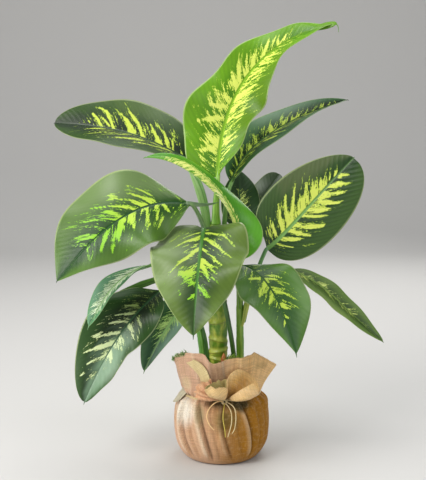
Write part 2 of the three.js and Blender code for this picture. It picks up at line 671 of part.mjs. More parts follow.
// The nursery pot: a plain cup whose upper band stands out as a lip.
const potBody = potRim.radius - potRim.step;
addNode('pot', upright([
  [0, potFoot.height], [potFoot.radius, potFoot.height], [potBody, potRim.height - potRim.lip],
  [potRim.radius, potRim.height - potRim.lip], [potRim.radius, potRim.height],
  [potBody - potRim.wall, potRim.height], [potFoot.radius - potRim.wall, potFoot.height + potRim.wall],
  [0, potFoot.height + potRim.wall],
], roundSides), 0x2b2b2b, 0.6);

// The soil fills the pot with a gap all round, and has a plain hole for each stem.
const soilFoot = potFoot.height + potRim.wall + gap;
const soilFootRadius = potFoot.radius - potRim.wall - 2 * gap;
const soilEdge = { inset: 1, drop: 3 };
const soilTopRadius = mix(soilFootRadius, potBody - potRim.wall - 2 * gap, soilTop / potRim.height)
  - soilEdge.inset;
let soil = solidOf(upright([
  [0, soilFoot], [soilFootRadius, soilFoot], [soilTopRadius, soilTop - soilEdge.drop], [0, soilTop],
], roundSides)).subtract(grownCane);
for (const grown of grownShoots) soil = soil.subtract(grown);
soil = soil.subtract(solidOf(stalkGeometry(leaves.leaf_front, gap)));
addNode('soil', geometryOf(soil), 0x3a2a1c, 0.95);

let cloth = solidOf(clothGeometry(0));
for (const fold of Object.values(folds)) {
  const at = (a, v, lift) => foldPoint(fold, a, v, lift);
  cloth = cloth.add(solidOf(sheetGeometry(at, foldSteps.rays, foldSteps.along, clothThickness)));
}
addNode('wrap', geometryOf(cloth), 0xc09a66, 0.9);

const knotShape = new THREE.SphereGeometry(1, 10, 7);
knotShape.scale(...knot.half);
knotShape.translate(...knot.place);
const tie = solidOf(ringGeometry()).add(solidOf(knotShape)).subtract(solidOf(clothGeometry(gap)));
addNode('tie', geometryOf(tie), 0xd8c48c, 0.8);
for (const [name, route] of Object.entries(tieEnds)) addNode(name, endGeometry(route), 0xd8c48c, 0.8);

export default plant;
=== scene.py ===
import math

import bpy
import numpy as np
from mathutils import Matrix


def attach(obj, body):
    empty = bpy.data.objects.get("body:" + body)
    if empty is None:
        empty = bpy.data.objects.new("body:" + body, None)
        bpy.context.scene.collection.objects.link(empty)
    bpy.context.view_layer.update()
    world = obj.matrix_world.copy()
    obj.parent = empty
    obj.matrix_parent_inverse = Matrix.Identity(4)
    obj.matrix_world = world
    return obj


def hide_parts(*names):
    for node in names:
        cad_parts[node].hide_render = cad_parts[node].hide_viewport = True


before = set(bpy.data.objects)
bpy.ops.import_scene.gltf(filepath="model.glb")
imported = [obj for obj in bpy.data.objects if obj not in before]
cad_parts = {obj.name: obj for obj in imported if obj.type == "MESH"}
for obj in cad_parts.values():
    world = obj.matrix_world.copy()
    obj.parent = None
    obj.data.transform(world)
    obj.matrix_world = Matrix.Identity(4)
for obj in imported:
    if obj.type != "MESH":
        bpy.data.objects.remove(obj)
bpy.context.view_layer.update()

# lengths are in millimetres up to addMesh, which turns them into metres
toMetres = 0.001


def addObject(name, data):
    thing = bpy.data.objects.new(name, data)
    bpy.context.collection.objects.link(thing)
    return thing


# Camera first
camera = dict(place=(-0.014, -1.584, 0.589), pitchDown=8.0, lens=72.3, sensor=36, clipEnd=60)
eye = addObject("camera", bpy.data.cameras.new("camera"))
eye.location = camera["place"]
eye.rotation_euler = (math.radians(90 - camera["pitchDown"]), 0, 0)
eye.data.lens = camera["lens"]
eye.data.sensor_width = camera["sensor"]
eye.data.clip_end = camera["clipEnd"]
bpy.context.scene.camera = eye


# Small helpers
def fade(x, low, high):
    # eased step from 0 at low to 1 at high
    t = np.clip((x - low) / (high - low), 0, 1)
    return t * t * (3 - 2 * t)


def mix(a, b, t):
    return a + (b - a) * t


def hill(x, middle, width, power=2):
    # 1 at the middle, falling on both sides: e to the minus distance over the width, to a power
    return np.exp(-((x - middle) / width) ** power)


def unit(v):
    return v / np.maximum(np.linalg.norm(v, axis=-1, keepdims=True), 1e-9)


def polar(radius, turn, height):
    # points at a radius and a turn round the upright axis
    return np.stack(np.broadcast_arrays(radius * np.cos(turn), radius * np.sin(turn), height), -1)


def fullTurn(sides):
    return np.arange(sides) * 2 * np.pi / sides


def runLength(line):
    # the way along a line up to each of its points
    return np.concatenate([[0], np.cumsum(np.linalg.norm(np.diff(line, axis=0), axis=-1))])


def srgb(r, g, b):
    # a colour as seen on a screen, 0 to 255, as the linear values that a shader takes
    c = np.array([r, g, b]) / 255
    c = np.where(c <= 0.04045, c / 12.92, ((c + 0.055) / 1.055) ** 2.4)
    return (*[float(x) for x in c], 1.0)


def bezier(points, t):
    # cubic curve: its points weighted by (1-t)^3, 3t(1-t)^2, 3t^2(1-t) and t^3, and its slope
    p = [np.array(a, float) for a in points]
    t = np.asarray(t, float)[..., None]
    u = 1 - t
    place = u ** 3 * p[0] + 3 * t * u ** 2 * p[1] + 3 * t ** 2 * u * p[2] + t ** 3 * p[3]
    slope = u ** 2 * (p[1] - p[0]) + 2 * t * u * (p[2] - p[1]) + t ** 2 * (p[3] - p[2])
    return place, unit(slope)


def throughPoints(points, t, closed=False):
    # smooth curve through all points, which t counts: each stretch is a cubic of its ends and their
    # neighbours
    p = np.array(points, float)
    n = len(p)
    low = np.floor(t).astype(int)
    low = low % n if closed else np.clip(low, 0, n - 2)
    f = (t - np.floor(t) if closed else t - low)[..., None]
    a, b, c, d = [p[i % n if closed else np.clip(i, 0, n - 1)] for i in (low - 1, low, low + 1, low + 2)]
    return 0.5 * (2 * b + (c - a) * f + (2 * a - 5 * b + 4 * c - d) * f ** 2
                  + (3 * b - a - 3 * c + d) * f ** 3)


def gridFaces(rows, columns, start=0, flip=False, wrap=False):
    # quads between neighbouring points of a grid; wrap joins the last column to the first
    i, k = np.meshgrid(np.arange(rows - 1), np.arange(columns if wrap else columns - 1), indexing="ij")
    a = start + i * columns + k
    b = start + i * columns + (k + 1) % columns
    quads = np.stack([a, b, b + columns, a + columns], axis=-1).reshape(-1, 4)
    return quads[:, ::-1] if flip else quads


def tubeFaces(rows, sides):
    # the wall of a tube and a fan over each end
    k = np.arange(1, sides - 1)
    fans = [np.stack([0 * k, k + 1, k], -1), np.stack([0 * k, k, k + 1], -1) + (rows - 1) * sides]
    return [gridFaces(rows, sides, wrap=True), np.concatenate(fans)]


def addMesh(name, parts, materials, faceSlots=None):
    # a mesh from parts: points in millimetres, a list of face arrays, and maps of two values for each point
    points, faces, maps = parts
    loops = np.concatenate([f.ravel() for f in faces]).astype(np.int32)
    sizes = np.concatenate([np.full(len(f), f.shape[1]) for f in faces])
    mesh = bpy.data.meshes.new(name)
    mesh.vertices.add(points.size // 3)
    mesh.vertices.foreach_set("co", (points * toMetres).ravel())
    mesh.loops.add(len(loops))
    mesh.loops.foreach_set("vertex_index", loops)
    mesh.polygons.add(len(sizes))
    mesh.polygons.foreach_set("loop_start", (np.cumsum(sizes) - sizes).astype(np.int32))
    mesh.polygons.foreach_set("use_smooth", np.ones(len(sizes), bool))
    for material in materials if isinstance(materials, list) else [materials]:
        mesh.materials.append(material)
    if faceSlots is not None:
        mesh.polygons.foreach_set("material_index", faceSlots.astype(np.int32))
    for label, values in maps.items():
        layer = mesh.uv_layers.new(name=label)
        layer.uv.foreach_set("vector", values.reshape(-1, 2)[loops].ravel())
    mesh.update(calc_edges=True)
    return addObject(name, mesh)


def makePiece(name, parts, materials, node=None, faceSlots=None):
    # a mesh that rides the plant's one body, and the node that it replaces
    piece = addMesh(name, parts, materials, faceSlots)
    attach(piece, "root")
    if node:
        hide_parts(node)
    return piece


def joined(*several):
    # several parts put together as one
    start, points, faces = 0, [], []
    for p, f, _ in several:
        points.append(p)
        faces += [x + start for x in f]
        start += len(p)
    maps = {key: np.concatenate([m[key] for _, _, m in several]) for key in several[0][2]}
    return np.concatenate(points), faces, maps


def sweep(line, radii, sides=16, flat=1.0, groove=0.0, toward=None):
    # rings round a line, each frame the last one's turned by the line's bend; flat squeezes a ring along its
    # second direction and groove presses a furrow into the side that looks that way; both ends are closed
    line = np.asarray(line, float)
    radii = np.broadcast_to(np.asarray(radii, float), (len(line),))
    along = unit(np.gradient(line, axis=0))
    start = np.array([1.0, 0, 0]) if abs(along[0][2]) > 0.7 else np.array([0, 0, 1.0])
    across = np.zeros_like(line)
    last = start if toward is None else np.cross(along[0], toward)
    for i, direction in enumerate(along):
        last = unit(last - last.dot(direction) * direction)
        across[i] = last
    second = np.cross(along, across)
    turn = fullTurn(sides)
    away = np.abs((turn - np.pi / 2 + np.pi) % (2 * np.pi) - np.pi)
    ring = (radii[:, None] * (1 - groove * hill(away, 0, 0.45)))[..., None]
    points = (line[:, None] + ring * np.cos(turn)[:, None] * across[:, None]
              + flat * ring * np.sin(turn)[:, None] * second[:, None])
    stem = np.stack(np.broadcast_arrays(turn / (2 * np.pi), runLength(line)[:, None] / 100), -1)
    return points.reshape(-1, 3), tubeFaces(len(line), sides), {"stem": stem.reshape(-1, 2)}


# Shader helpers: nodes go into the tree of the material or group that was begun last
bench = dict(tree=None, material=None, shader=None)


class Wire:
    # a shader value that is reckoned with like a number, each step by a math node
    def __init__(self, socket):
        self.socket = socket


def put(kind, values=None, **settings):
    node = bench["tree"].nodes.new(kind)
    for key, value in settings.items():
        setattr(node, key, value)
    for key, value in (values or {}).items():
        if isinstance(value, Wire):
            bench["tree"].links.new(value.socket, node.inputs[key])
        else:
            node.inputs[key].default_value = value
    return node


def calc(operation, *values):
    return Wire(put("ShaderNodeMath", dict(enumerate(values)), operation=operation).outputs[0])


for word, operation in dict(add="ADD", sub="SUBTRACT", mul="MULTIPLY", truediv="DIVIDE").items():
    setattr(Wire, "__%s__" % word, lambda a, b, operation=operation: calc(operation, a, b))
    setattr(Wire, "__r%s__" % word, lambda a, b, operation=operation: calc(operation, b, a))


def ease(value, low, high):
    # eased step of a shader value from 0 at low to 1 at high
    values = {"Value": value, "From Min": low, "From Max": high}
    return Wire(put("ShaderNodeMapRange", values, interpolation_type="SMOOTHSTEP").outputs[0])


def blend(share, first, second):
    # from the first colour to the second, each a wire or three numbers as seen
    first, second = [c if isinstance(c, Wire) else srgb(*c) for c in (first, second)]
    return Wire(put("ShaderNodeMix", {0: share, 6: first, 7: second}, data_type="RGBA").outputs[2])


def noise(where, scale, detail=2.0, roughness=0.5, distortion=0.0):
    given = dict(Vector=where, Scale=scale, Detail=detail, Roughness=roughness, Distortion=distortion)
    return Wire(put("ShaderNodeTexNoise", given).outputs[0])


def vector(x=0.0, y=0.0, z=0.0):
    return Wire(put("ShaderNodeCombineXYZ", {0: x, 1: y, 2: z}).outputs[0])


def split(source):
    return [Wire(socket) for socket in put("ShaderNodeSeparateXYZ", {0: source}).outputs]


def mapped(name):
    return Wire(put("ShaderNodeUVMap", uv_map=name).outputs[0])


def spot():
    # the place on the piece, in metres
    return Wire(put("ShaderNodeTexCoord").outputs["Object"])


def beginGroup(name, inputs):
    # a node group and its inputs, each with a number's usual value, or None for a vector
    bench["tree"] = bpy.data.node_groups.new(name, "ShaderNodeTree")
    for label, value in inputs.items():
        kind = "NodeSocketVector" if value is None else "NodeSocketFloat"
        socket = bench["tree"].interface.new_socket(label, in_out="INPUT", socket_type=kind)
        if value is not None:
            socket.default_value = value
    sockets = put("NodeGroupInput").outputs
    return [Wire(sockets[label]) for label in inputs]


def endGroup(results):
    for label in results:
        bench["tree"].interface.new_socket(label, in_out="OUTPUT", socket_type="NodeSocketFloat")
    put("NodeGroupOutput", results)
    return bench["tree"]


def useGroup(group, values):
    node = put("ShaderNodeGroup", values, node_tree=group)
    return {socket.name: Wire(socket) for socket in node.outputs}


def beginMaterial(name, roughness=0.5, specular=0.5, sheen=0.0):
    bench["material"] = bpy.data.materials.new(name)
    bench["material"].use_nodes = True
    bench["tree"] = bench["material"].node_tree
    bench["tree"].nodes.clear()
    values = {"Roughness": roughness, "Specular IOR Level": specular, "Sheen Weight": sheen}
    bench["shader"] = put("ShaderNodeBsdfPrincipled", values)
    put("ShaderNodeOutputMaterial", {"Surface": Wire(bench["shader"].outputs[0])})


def endMaterial(colour, height=None, distance=0.0, strength=1.0, roughness=None):
    # the colour, a roughness and a relief reach the shader, and the material is given back
    ends = {"Base Color": colour, "Roughness": roughness}
    if height is not None:
        bump = put("ShaderNodeBump", {"Height": height, "Distance": distance, "Strength": strength})
        ends["Normal"] = Wire(bump.outputs[0])
    for label, wire in ends.items():
        if wire is not None:
            bench["tree"].links.new(wire.socket, bench["shader"].inputs[label])
    return bench["material"]


print("helpers ready")

# Leaves
# the same leaves as the solids: points in mm, angles in degrees, pairs are left and right of the rib
leaves = {
    "leaf_top": dict(
        stalk=[(-9, 0, 392.3), (-10, 0, 420), (-8, 0, 445)], stalkRadius=(8.6, 6.4, 3.6),
        rib=[(-6, 0, 469), (-5, 25, 584), (43, 30, 689), (178, -20, 716)],
        face=[(-10, 12), (1, 25), (14, 42)], half=(67, 67), fold=(22, 38), cup=(10, 3),
        wide=(0.2, 0.43), full=(1.4, 1.8), lobe=-9, wave=(8, 3.9, 0), ripple=(0.1, 2.6, 0.5), tail=(17, 1)),
    "leaf_upper_left": dict(
        stalk=[(-20, 2, 345), (-21, 2, 395), (-22, 4, 455)], stalkRadius=(3.6, 5.2, 3.2),
        rib=[(-59, 10, 501), (-144, 25, 546), (-183, 50, 552), (-283, 65, 558)],
        face=[(0, 52), (-4, 50), (-10, 42)], half=(54, 65), fold=(20, 18), cup=(5, 7),
        wide=(0.55, 0.4), full=(1.3, 0.9), lobe=5, wave=(2, 2.3, -0.25), tail=(4, 0.5)),
    "leaf_upper_right": dict(
        stalk=[(1, 6, 343), (6, 11, 385), (4, 14, 430)], stalkRadius=(3.4, 4.6, 3.2),
        rib=[(16, 20, 458), (33, 40, 525), (122, 80, 570), (219, 110, 597)],
        face=[(-22, 46), (-11, 51), (0, 58)], half=(38, 44), fold=(25, 34), cup=(11, 6),
        wide=(0.44, 0.45), full=(1.5, 1.5), lobe=-5, wave=(5, 1.5, 0.78), tail=(9, 0.5)),
    "leaf_crossing": dict(
        stalk=[(2, -12, 300), (9, -25, 325), (20, -25, 343)], stalkRadius=(3.4, 4.6, 3.2),
        rib=[(28, -20, 356), (47, -22, 393), (-34, -70, 531), (-118, -110, 509)],
        face=[(-20, 63), (-22, 59), (-24, 57)], half=(27, 38), fold=(20, 21), cup=(16, 22),
        wide=(0.4, 0.2), full=(1.3, 1.3), lobe=14, wave=(12, 0.7, 0.15), tail=(5, 0.5)),
    "leaf_left": dict(
        stalk=[(-17, -9, 338), (-22, -18, 375), (-34, -32, 412)], stalkRadius=(3.4, 4.6, 3.2),
        rib=[(-48, -45, 431), (-128, -75, 448), (-185, -110, 408), (-254, -125, 320)],
        face=[(-3, 37), (-9, 19), (-27, 15)], half=(66, 79), fold=(10, 3), cup=(11, 14),
        wide=(0.43, 0.54), full=(1.5, 1.9), lobe=-7, wave=(15, 2, 0.34), tail=(5, 0.5)),
    "leaf_front": dict(
        stalk=[(27, -6, 45), (33, -6, 180), (-8, -50, 330)], stalkRadius=(3.6, 4.2, 3.4),
        rib=[(-28, -60, 394), (-33, -120, 383), (-40, -175, 316), (-43, -195, 251)],
        face=[(-1, 62), (-1, 43), (-3, 25)], half=(75, 78), fold=(14, 4), cup=(16, 21),
        wide=(0.31, 0.34), full=(1.3, 1.3), lobe=12, wave=(12, 2.5, 0), tail=(9, 0.5)),
    "leaf_right": dict(
        stalk=[(38, 6, 225), (42, 4, 262), (60, 2, 320)], stalkRadius=(3.2, 4.2, 3.2),
        rib=[(75, 5, 351), (94, 10, 358), (152, 20, 430), (220, 20, 502)],
        face=[(3, 16), (1, 22), (0, 28)], half=(68, 66), fold=(12, 3), cup=(6, 11),
        wide=(0.5, 0.6), full=(1.3, 1), lobe=-4, wave=(1, 2, -0.11), tail=(5, 0.5)),
    "leaf_back": dict(
        stalk=[(-4, 13, 316), (0, 23, 345), (12, 20, 368)], stalkRadius=(3.2, 3.8, 2.8),
        rib=[(23, 22, 384), (31, 48, 408), (34, 76, 440), (31, 95, 476)],
        face=[(10, 40), (10, 40), (10, 40)], half=(33, 37), fold=(15, 15), cup=(10, 10),
        wide=(0.43, 0.41), full=(1.3, 1.4), lobe=0, wave=(2, 2, -0.47), tail=(4, 0.5)),
    "leaf_far_back": dict(
        stalk=[(-14, 12, 322), (-16, 46, 350), (20, 62, 385)], stalkRadius=(3.2, 3.8, 2.8),
        rib=[(46, 68, 396), (58, 98, 408), (80, 132, 432), (106, 165, 464)],
        face=[(20, 50), (19, 57), (20, 61)], half=(27, 26), fold=(16, 17), cup=(10, 9),
        wide=(0.55, 0.51), full=(0.9, 1), lobe=0, wave=(3, 2, 0.36), tail=(4, 0.5)),
    "leaf_slim_left": dict(
        stalk=[(-41, -8, 226), (-53, -27, 270), (-88, -31, 326)], stalkRadius=(3.2, 3.8, 2.8),
        rib=[(-114, -25, 330), (-175, -45, 314), (-188, -70, 282), (-212, -80, 239)],
        face=[(-2, 62), (-13, 54), (-22, 41)], half=(17, 25), fold=(28, 12), cup=(3, 11),
        wide=(0.49, 0.54), full=(1.4, 1.6), lobe=-16, wave=(2, 1.7, 0.21), tail=(10, 0.5)),
    "leaf_low_left": dict(
        stalk=[(-51, -3, 262), (-59, -4, 288), (-82, -6, 294)], stalkRadius=(4.6, 4.2, 3),
        rib=[(-100, -10, 284), (-132, -35, 260), (-174, -65, 227), (-223, -70, 110)],
        face=[(4, 41), (-2, 32), (-8, 22)], half=(42, 60), fold=(15, 13), cup=(8, 9),
        wide=(0.42, 0.55), full=(1.1, 1.3), lobe=-11, wave=(9, 1.5, 0.13), tail=(7, 0.5)),
    "leaf_small_left": dict(
        stalk=[(-36, 4, 210), (-40, 14, 230), (-47, 13, 248)], stalkRadius=(3, 3.4, 2.6),
        rib=[(-56, 8, 254), (-66, -2, 252), (-92, -22, 231), (-128, -30, 151)],
        face=[(0, 50), (-1, 40), (-2, 31)], half=(22, 36), fold=(17, 15), cup=(9, 10),
        wide=(0.41, 0.51), full=(1.4, 1.3), lobe=0, wave=(4, 1.9, -0.42), tail=(7, 0.5)),
    "leaf_low_right": dict(
        stalk=[(32, 1, 250), (30, -12, 285), (30, -26, 320)], stalkRadius=(3.2, 4, 3),
        rib=[(33, -35, 330), (72, -62, 322), (93, -92, 285), (117, -105, 200)],
        face=[(1, 59), (4, 41), (13, 22)], half=(60, 58), fold=(3, 20), cup=(21, 12),
        wide=(0.5, 0.32), full=(1.7, 1.5), lobe=-10, wave=(7, 2.4, -0.53), tail=(9, 0.5)),
    "leaf_far_right": dict(
        stalk=[(38, 12, 238), (44, 22, 285), (80, 12, 320)], stalkRadius=(3.2, 4, 3),
        rib=[(108, 10, 316), (178, 20, 294), (203, 40, 246), (281, 50, 181)],
        face=[(-1, 52), (4, 50), (11, 53)], half=(20, 32), fold=(29, 23), cup=(10, 12),
        wide=(0.53, 0.41), full=(1.2, 1.3), lobe=-8, wave=(1.5, 3, -0.06), tail=(5, 0.5)),
}

blade = dict(rows=130, columns=49, thickness=0.45, ribDepth=2.2, veinGap=9.5)
# small swellings and notches of the margins: hand, place along the rib, length and share of the width
dents = {
    "leaf_low_left": [(-1, 0.67, 0.05, -0.09), (-1, 0.84, 0.06, 0.13)],
    "leaf_top": [(-1, 0.9, 0.08, 0.7), (1, 0.95, 0.05, 0.6)],
}
# the largest cream streaks: start and end, each as the side vein's place on the rib in mm and the share of
# the half width (left is minus), and the streak's half width in mm
blots = {
    "leaf_top": [
        (38, -0.2, 15, -0.7, 3), (57, -0.1, 45, -0.5, 6), (48, -0.1, 22, -0.55, 4),
        (97, -0.08, 45, -0.72, 4), (115, -0.1, 80, -0.6, 4), (128, -0.08, 108, -0.7, 4),
        (153, -0.08, 150, -0.55, 5), (166, -0.1, 165, -0.45, 4), (183, -0.05, 188, -0.55, 4),
        (202, -0.05, 203, -0.35, 3), (224, -0.1, 232, -0.5, 2.5), (258, -0.1, 268, -0.6, 3),
        (48, 0.25, 46, 0.6, 2), (55, 0.2, 55, 0.6, 2.5), (95, 0.1, 85, 0.55, 3.5),
        (112, 0.05, 120, 0.45, 4), (133, 0.08, 148, 0.45, 4), (155, 0.1, 178, 0.4, 4.5),
        (178, 0.1, 200, 0.45, 3), (205, 0.15, 208, 0.75, 2), (225, 0.1, 232, 0.7, 2.5)],
    "leaf_upper_left": [
        (5, 0.1, 5, 0.2, 2.5), (20, 0.05, 17, 0.3, 2.2), (28, 0.05, 30, 0.45, 3.5), (46, 0.03, 52, 0.45, 5),
        (78, 0.05, 80, 0.4, 4), (99, 0.08, 107, 0.5, 6), (82, 0.42, 86, 0.6, 4), (137, 0.05, 135, 0.6, 3.5),
        (135, 0.6, 147, 0.75, 3), (162, 0.1, 164, 0.5, 4.5), (146, 0.1, 153, 0.35, 2),
        (53, 0.62, 54, 0.75, 2), (150, -0.1, 167, -0.25, 2.5), (106, -0.25, 132, -0.45, 1.5),
        (58, -0.2, 68, -0.6, 1.8), (20, -0.1, 35, -0.5, 1.5)],
    "leaf_upper_right": [
        (100, -0.02, 91, -0.45, 3), (100, -0.3, 108, -0.4, 2), (82, -0.05, 80, -0.35, 3),
        (57, -0.2, 64, -0.45, 2.5), (40, -0.05, 42, -0.4, 2), (18, -0.1, 15, -0.5, 2),
        (134, -0.05, 127, -0.35, 4), (156, -0.02, 157, -0.2, 4), (176, -0.05, 185, -0.15, 4),
        (193, -0.03, 200, -0.08, 3), (48, 0.15, 92, 0.2, 3.5), (95, 0.35, 95, 0.65, 4),
        (115, 0.4, 115, 0.75, 2.5), (139, 0.1, 150, 0.15, 3), (160, 0.2, 165, 0.4, 2.5),
        (193, 0.1, 193, 0.4, 2.5)],
    "leaf_left": [
        (82, 0.05, 92, 0.45, 3), (88, 0.05, 90, 0.2, 4), (103, 0.02, 116, 0.6, 1.8), (68, 0.08, 73, 0.4, 3),
        (65, 0.15, 66, 0.25, 4), (54, 0.3, 52, 0.6, 2.2), (90, 0.48, 80, 0.55, 4), (133, 0.03, 123, 0.3, 4),
        (140, 0.02, 149, 0.5, 2), (182, 0.02, 193, 0.3, 3), (180, 0.2, 184, 0.38, 2.5),
        (54, -0.02, 28, -0.35, 3), (62, -0.05, 47, -0.45, 3), (80, -0.08, 66, -0.5, 2.5),
        (90, -0.06, 94, -0.14, 3), (65, -0.5, 65, -0.6, 4), (113, -0.1, 101, -0.4, 5),
        (130, -0.1, 145, -0.4, 6), (132, -0.25, 132, -0.5, 5), (145, -0.55, 145, -0.7, 4),
        (163, -0.15, 172, -0.45, 4.5), (35, -0.5, 34, -0.65, 3)],
    "leaf_front": [
        (36, 0.08, 35, 0.35, 3.5), (34, 0.35, 38, 0.62, 2.5), (66, 0.05, 72, 0.25, 4),
        (73, 0.25, 80, 0.68, 2.2), (54, 0.1, 54, 0.2, 3), (105, 0.2, 92, 0.4, 8), (125, 0.08, 125, 0.2, 4),
        (146, 0.05, 146, 0.22, 3), (129, 0.45, 129, 0.5, 2.5), (21, 0.1, 20, 0.45, 2),
        (10, 0.65, 12, 0.72, 3), (22, -0.1, 18, -0.4, 2.5), (14, -0.5, 15, -0.7, 4.5),
        (40, -0.08, 48, -0.58, 3), (66, -0.06, 77, -0.5, 3.5), (86, -0.08, 96, -0.48, 2.5),
        (94, -0.08, 112, -0.3, 6.5), (127, -0.05, 136, -0.12, 2.5), (134, -0.15, 137, -0.4, 5)],
    "leaf_right": [
        (30, -0.25, 26, -0.5, 2), (46, -0.15, 39, -0.55, 3), (68, -0.1, 60, -0.6, 3.5),
        (81, -0.05, 77, -0.62, 4.5), (93, -0.05, 99, -0.68, 4), (114, -0.05, 113, -0.3, 7),
        (127, -0.05, 121, -0.5, 3), (139, -0.02, 138, -0.5, 4.5), (143, -0.05, 143, -0.15, 4),
        (159, -0.03, 161, -0.45, 2.8), (152, -0.1, 152, -0.3, 2), (169, -0.1, 169, -0.4, 2),
        (178, -0.05, 182, -0.35, 2.2), (38, 0.05, 36, 0.5, 2), (57, 0.03, 58, 0.5, 4),
        (77, 0.02, 64, 0.55, 3.5), (89, 0.05, 83, 0.6, 4.5), (109, 0.05, 104, 0.55, 2),
        (122, 0.05, 119, 0.4, 5), (137, 0.1, 126, 0.55, 3), (147, 0.03, 148, 0.5, 4.5),
        (162, 0.03, 164, 0.55, 3), (167, 0.15, 167, 0.3, 4), (180, 0.1, 180, 0.3, 3.5)],
    "leaf_low_left": [
        (127, 0.06, 122, 0.5, 3), (118, 0.5, 115, 0.65, 2.5), (147, 0.05, 147, 0.28, 5),
        (147, 0.28, 138, 0.75, 2.5), (165, 0.02, 167, 0.25, 5), (167, 0.25, 165, 0.5, 2.5),
        (193, 0.1, 193, 0.35, 4), (178, 0.6, 178, 0.7, 3), (83, 0.1, 84, 0.4, 3),
        (103, 0.05, 101, 0.4, 2.5), (62, 0.15, 62, 0.4, 2), (107, -0.15, 101, -0.45, 4),
        (104, -0.5, 104, -0.65, 3), (134, -0.1, 130, -0.5, 4), (142, -0.2, 142, -0.4, 3.5),
        (134, -0.5, 134, -0.65, 3), (161, -0.05, 163, -0.4, 4), (82, -0.2, 82, -0.6, 2.5)],
    "leaf_low_right": [
        (5, 0.05, 30, 0.1, 2), (50, 0.1, 23, 0.45, 3), (70, 0.08, 70, 0.3, 6), (65, 0.4, 65, 0.5, 4.5),
        (92, 0.1, 92, 0.35, 4.5), (108, 0.05, 110, 0.2, 2), (137, 0.05, 137, 0.25, 2.5),
        (62, -0.05, 57, -0.3, 3), (50, -0.15, 50, -0.45, 1.5), (82, -0.05, 78, -0.3, 2.5),
        (88, -0.08, 83, -0.5, 2), (115, -0.02, 113, -0.2, 3), (110, -0.1, 113, -0.3, 2),
        (132, -0.03, 132, -0.12, 3)],
}


def bySide(pair, q):
    return np.where(q > 0, pair[1], pair[0])


def facing(face, s):
    # the upper side's direction, a parabola through the three turns and heights
    weights = [2 * (s - 0.5) * (s - 1), -4 * s * (s - 1), 2 * s * (s - 0.5)]
    turn, height = [np.radians(sum(w * f[i] for w, f in zip(weights, face))) for i in (0, 1)]
    return np.stack([np.sin(turn) * np.cos(height), -np.cos(turn) * np.cos(height), np.sin(height)], -1)


def halfWidth(leaf, s, q):
    # each side's form and width: s to a power up to the widest place, and 1 - s to another after it, with
    # slow swellings and the dents
    wide, full = bySide(leaf["wide"], q), bySide(leaf["full"], q)
    swell, swells, begin = leaf.get("ripple", (0, 0, 0))
    form = (s / wide) ** (full * wide) * ((1 - s) / (1 - wide)) ** (full * (1 - wide))
    form = form * (1 + swell * np.sin(2 * np.pi * (swells * s + begin + (q > 0) / 2)))
    for hand, at, long, share in leaf["dents"]:
        form = form * (1 + share * hill(s, at, long) * (np.sign(q) == hand))
    return form, bySide(leaf["half"], q) * form


def bladePoint(leaf, s, q, lift):
    # from the rib each half goes out at its fold angle and bends back by its cup angle; the margin waves with
    # the square of q, the lobes lie behind the foot, and lift is the height over the middle surface
    rib, along = bezier(leaf["rib"], s)
    up = facing(leaf["face"], s)
    up = unit(up - (up * along).sum(-1, keepdims=True) * along)
    side = np.cross(along, up)
    reach = np.abs(q)
    form, width = halfWidth(leaf, s, q)
    fold, cup = np.radians(bySide(leaf["fold"], q)), np.radians(bySide(leaf["cup"], q))
    slope = fold - cup * reach
    out = (np.sin(fold) - np.sin(slope)) / cup
    rise = (np.cos(slope) - np.cos(fold)) / cup
    height, count, start = leaf["wave"]
    wave = height * reach ** 2 * form * np.sin(2 * np.pi * (count * s + (q > 0) / 4 + start))
    lean = np.where(q == 0, 0, slope)
    lobe = -leaf["lobe"] * (1 - s) ** 3 * reach ** 2
    return (rib + side * (np.sign(q) * (out * width - lift * np.sin(lean)))[..., None]
            + up * (rise * width + wave + lift * np.cos(lean))[..., None] + along * lobe[..., None])


def blotField(drawn, vein, q, width, slant, floor):
    # 1 on a streak's middle line, 0 at its edge and floor well away from all; each streak narrows to its end
    best = np.full(q.shape, floor if drawn else 0.0)
    for v0, q0, v1, q1, half in drawn:
        t = (q - q0) / (q1 - q0)
        on = np.clip(t, 0, 1)
        across = (vein - mix(v0, v1, on)) / np.sqrt(1 + slant ** 2)
        past = (t - on) * (q1 - q0) * width
        best = np.maximum(best, 1 - np.hypot(across, past) / (1.1 * half * (1 - 0.6 * on ** 1.5)))
    return best


def tailParts(leaf, beak):
    # the thread at the tip, which droops with the square of its length; a beak is a flat drop round the tip,
    # from which the thread runs on
    tailLength, bend = leaf["tail"]
    tailLength = tailLength * (1 if beak else 0.6)
    tip, before = [bladePoint(leaf, np.array(s), np.array(0.0), 0.0) for s in (0.999, 0.97)]
    t = np.linspace(-2.6 if beak else -0.5, 1, 40 if beak else 12)
    past = np.maximum(t, 0)[:, None]
    line = (tip + unit(tip - before) * tailLength * t[:, None] * (1 - 0.5 * bend * past)
            - np.array([0, 0, 0.9 * tailLength * bend]) * past ** 2)
    thread = mix(1.05, 0.3, np.clip(t, 0, 1))
    if not beak:
        return sweep(line, thread, 10, flat=0.8, toward=(0, -0.3, 1))
    grown = np.clip((t + 2.6) / 2.9, 0, 1)
    drop = thread + (beak - thread) * np.sqrt(np.clip(np.sin(np.pi * grown ** 1.6), 0, 1))
    return sweep(line, drop, 10, flat=0.14, toward=(0.1, -0.9, 0.4))


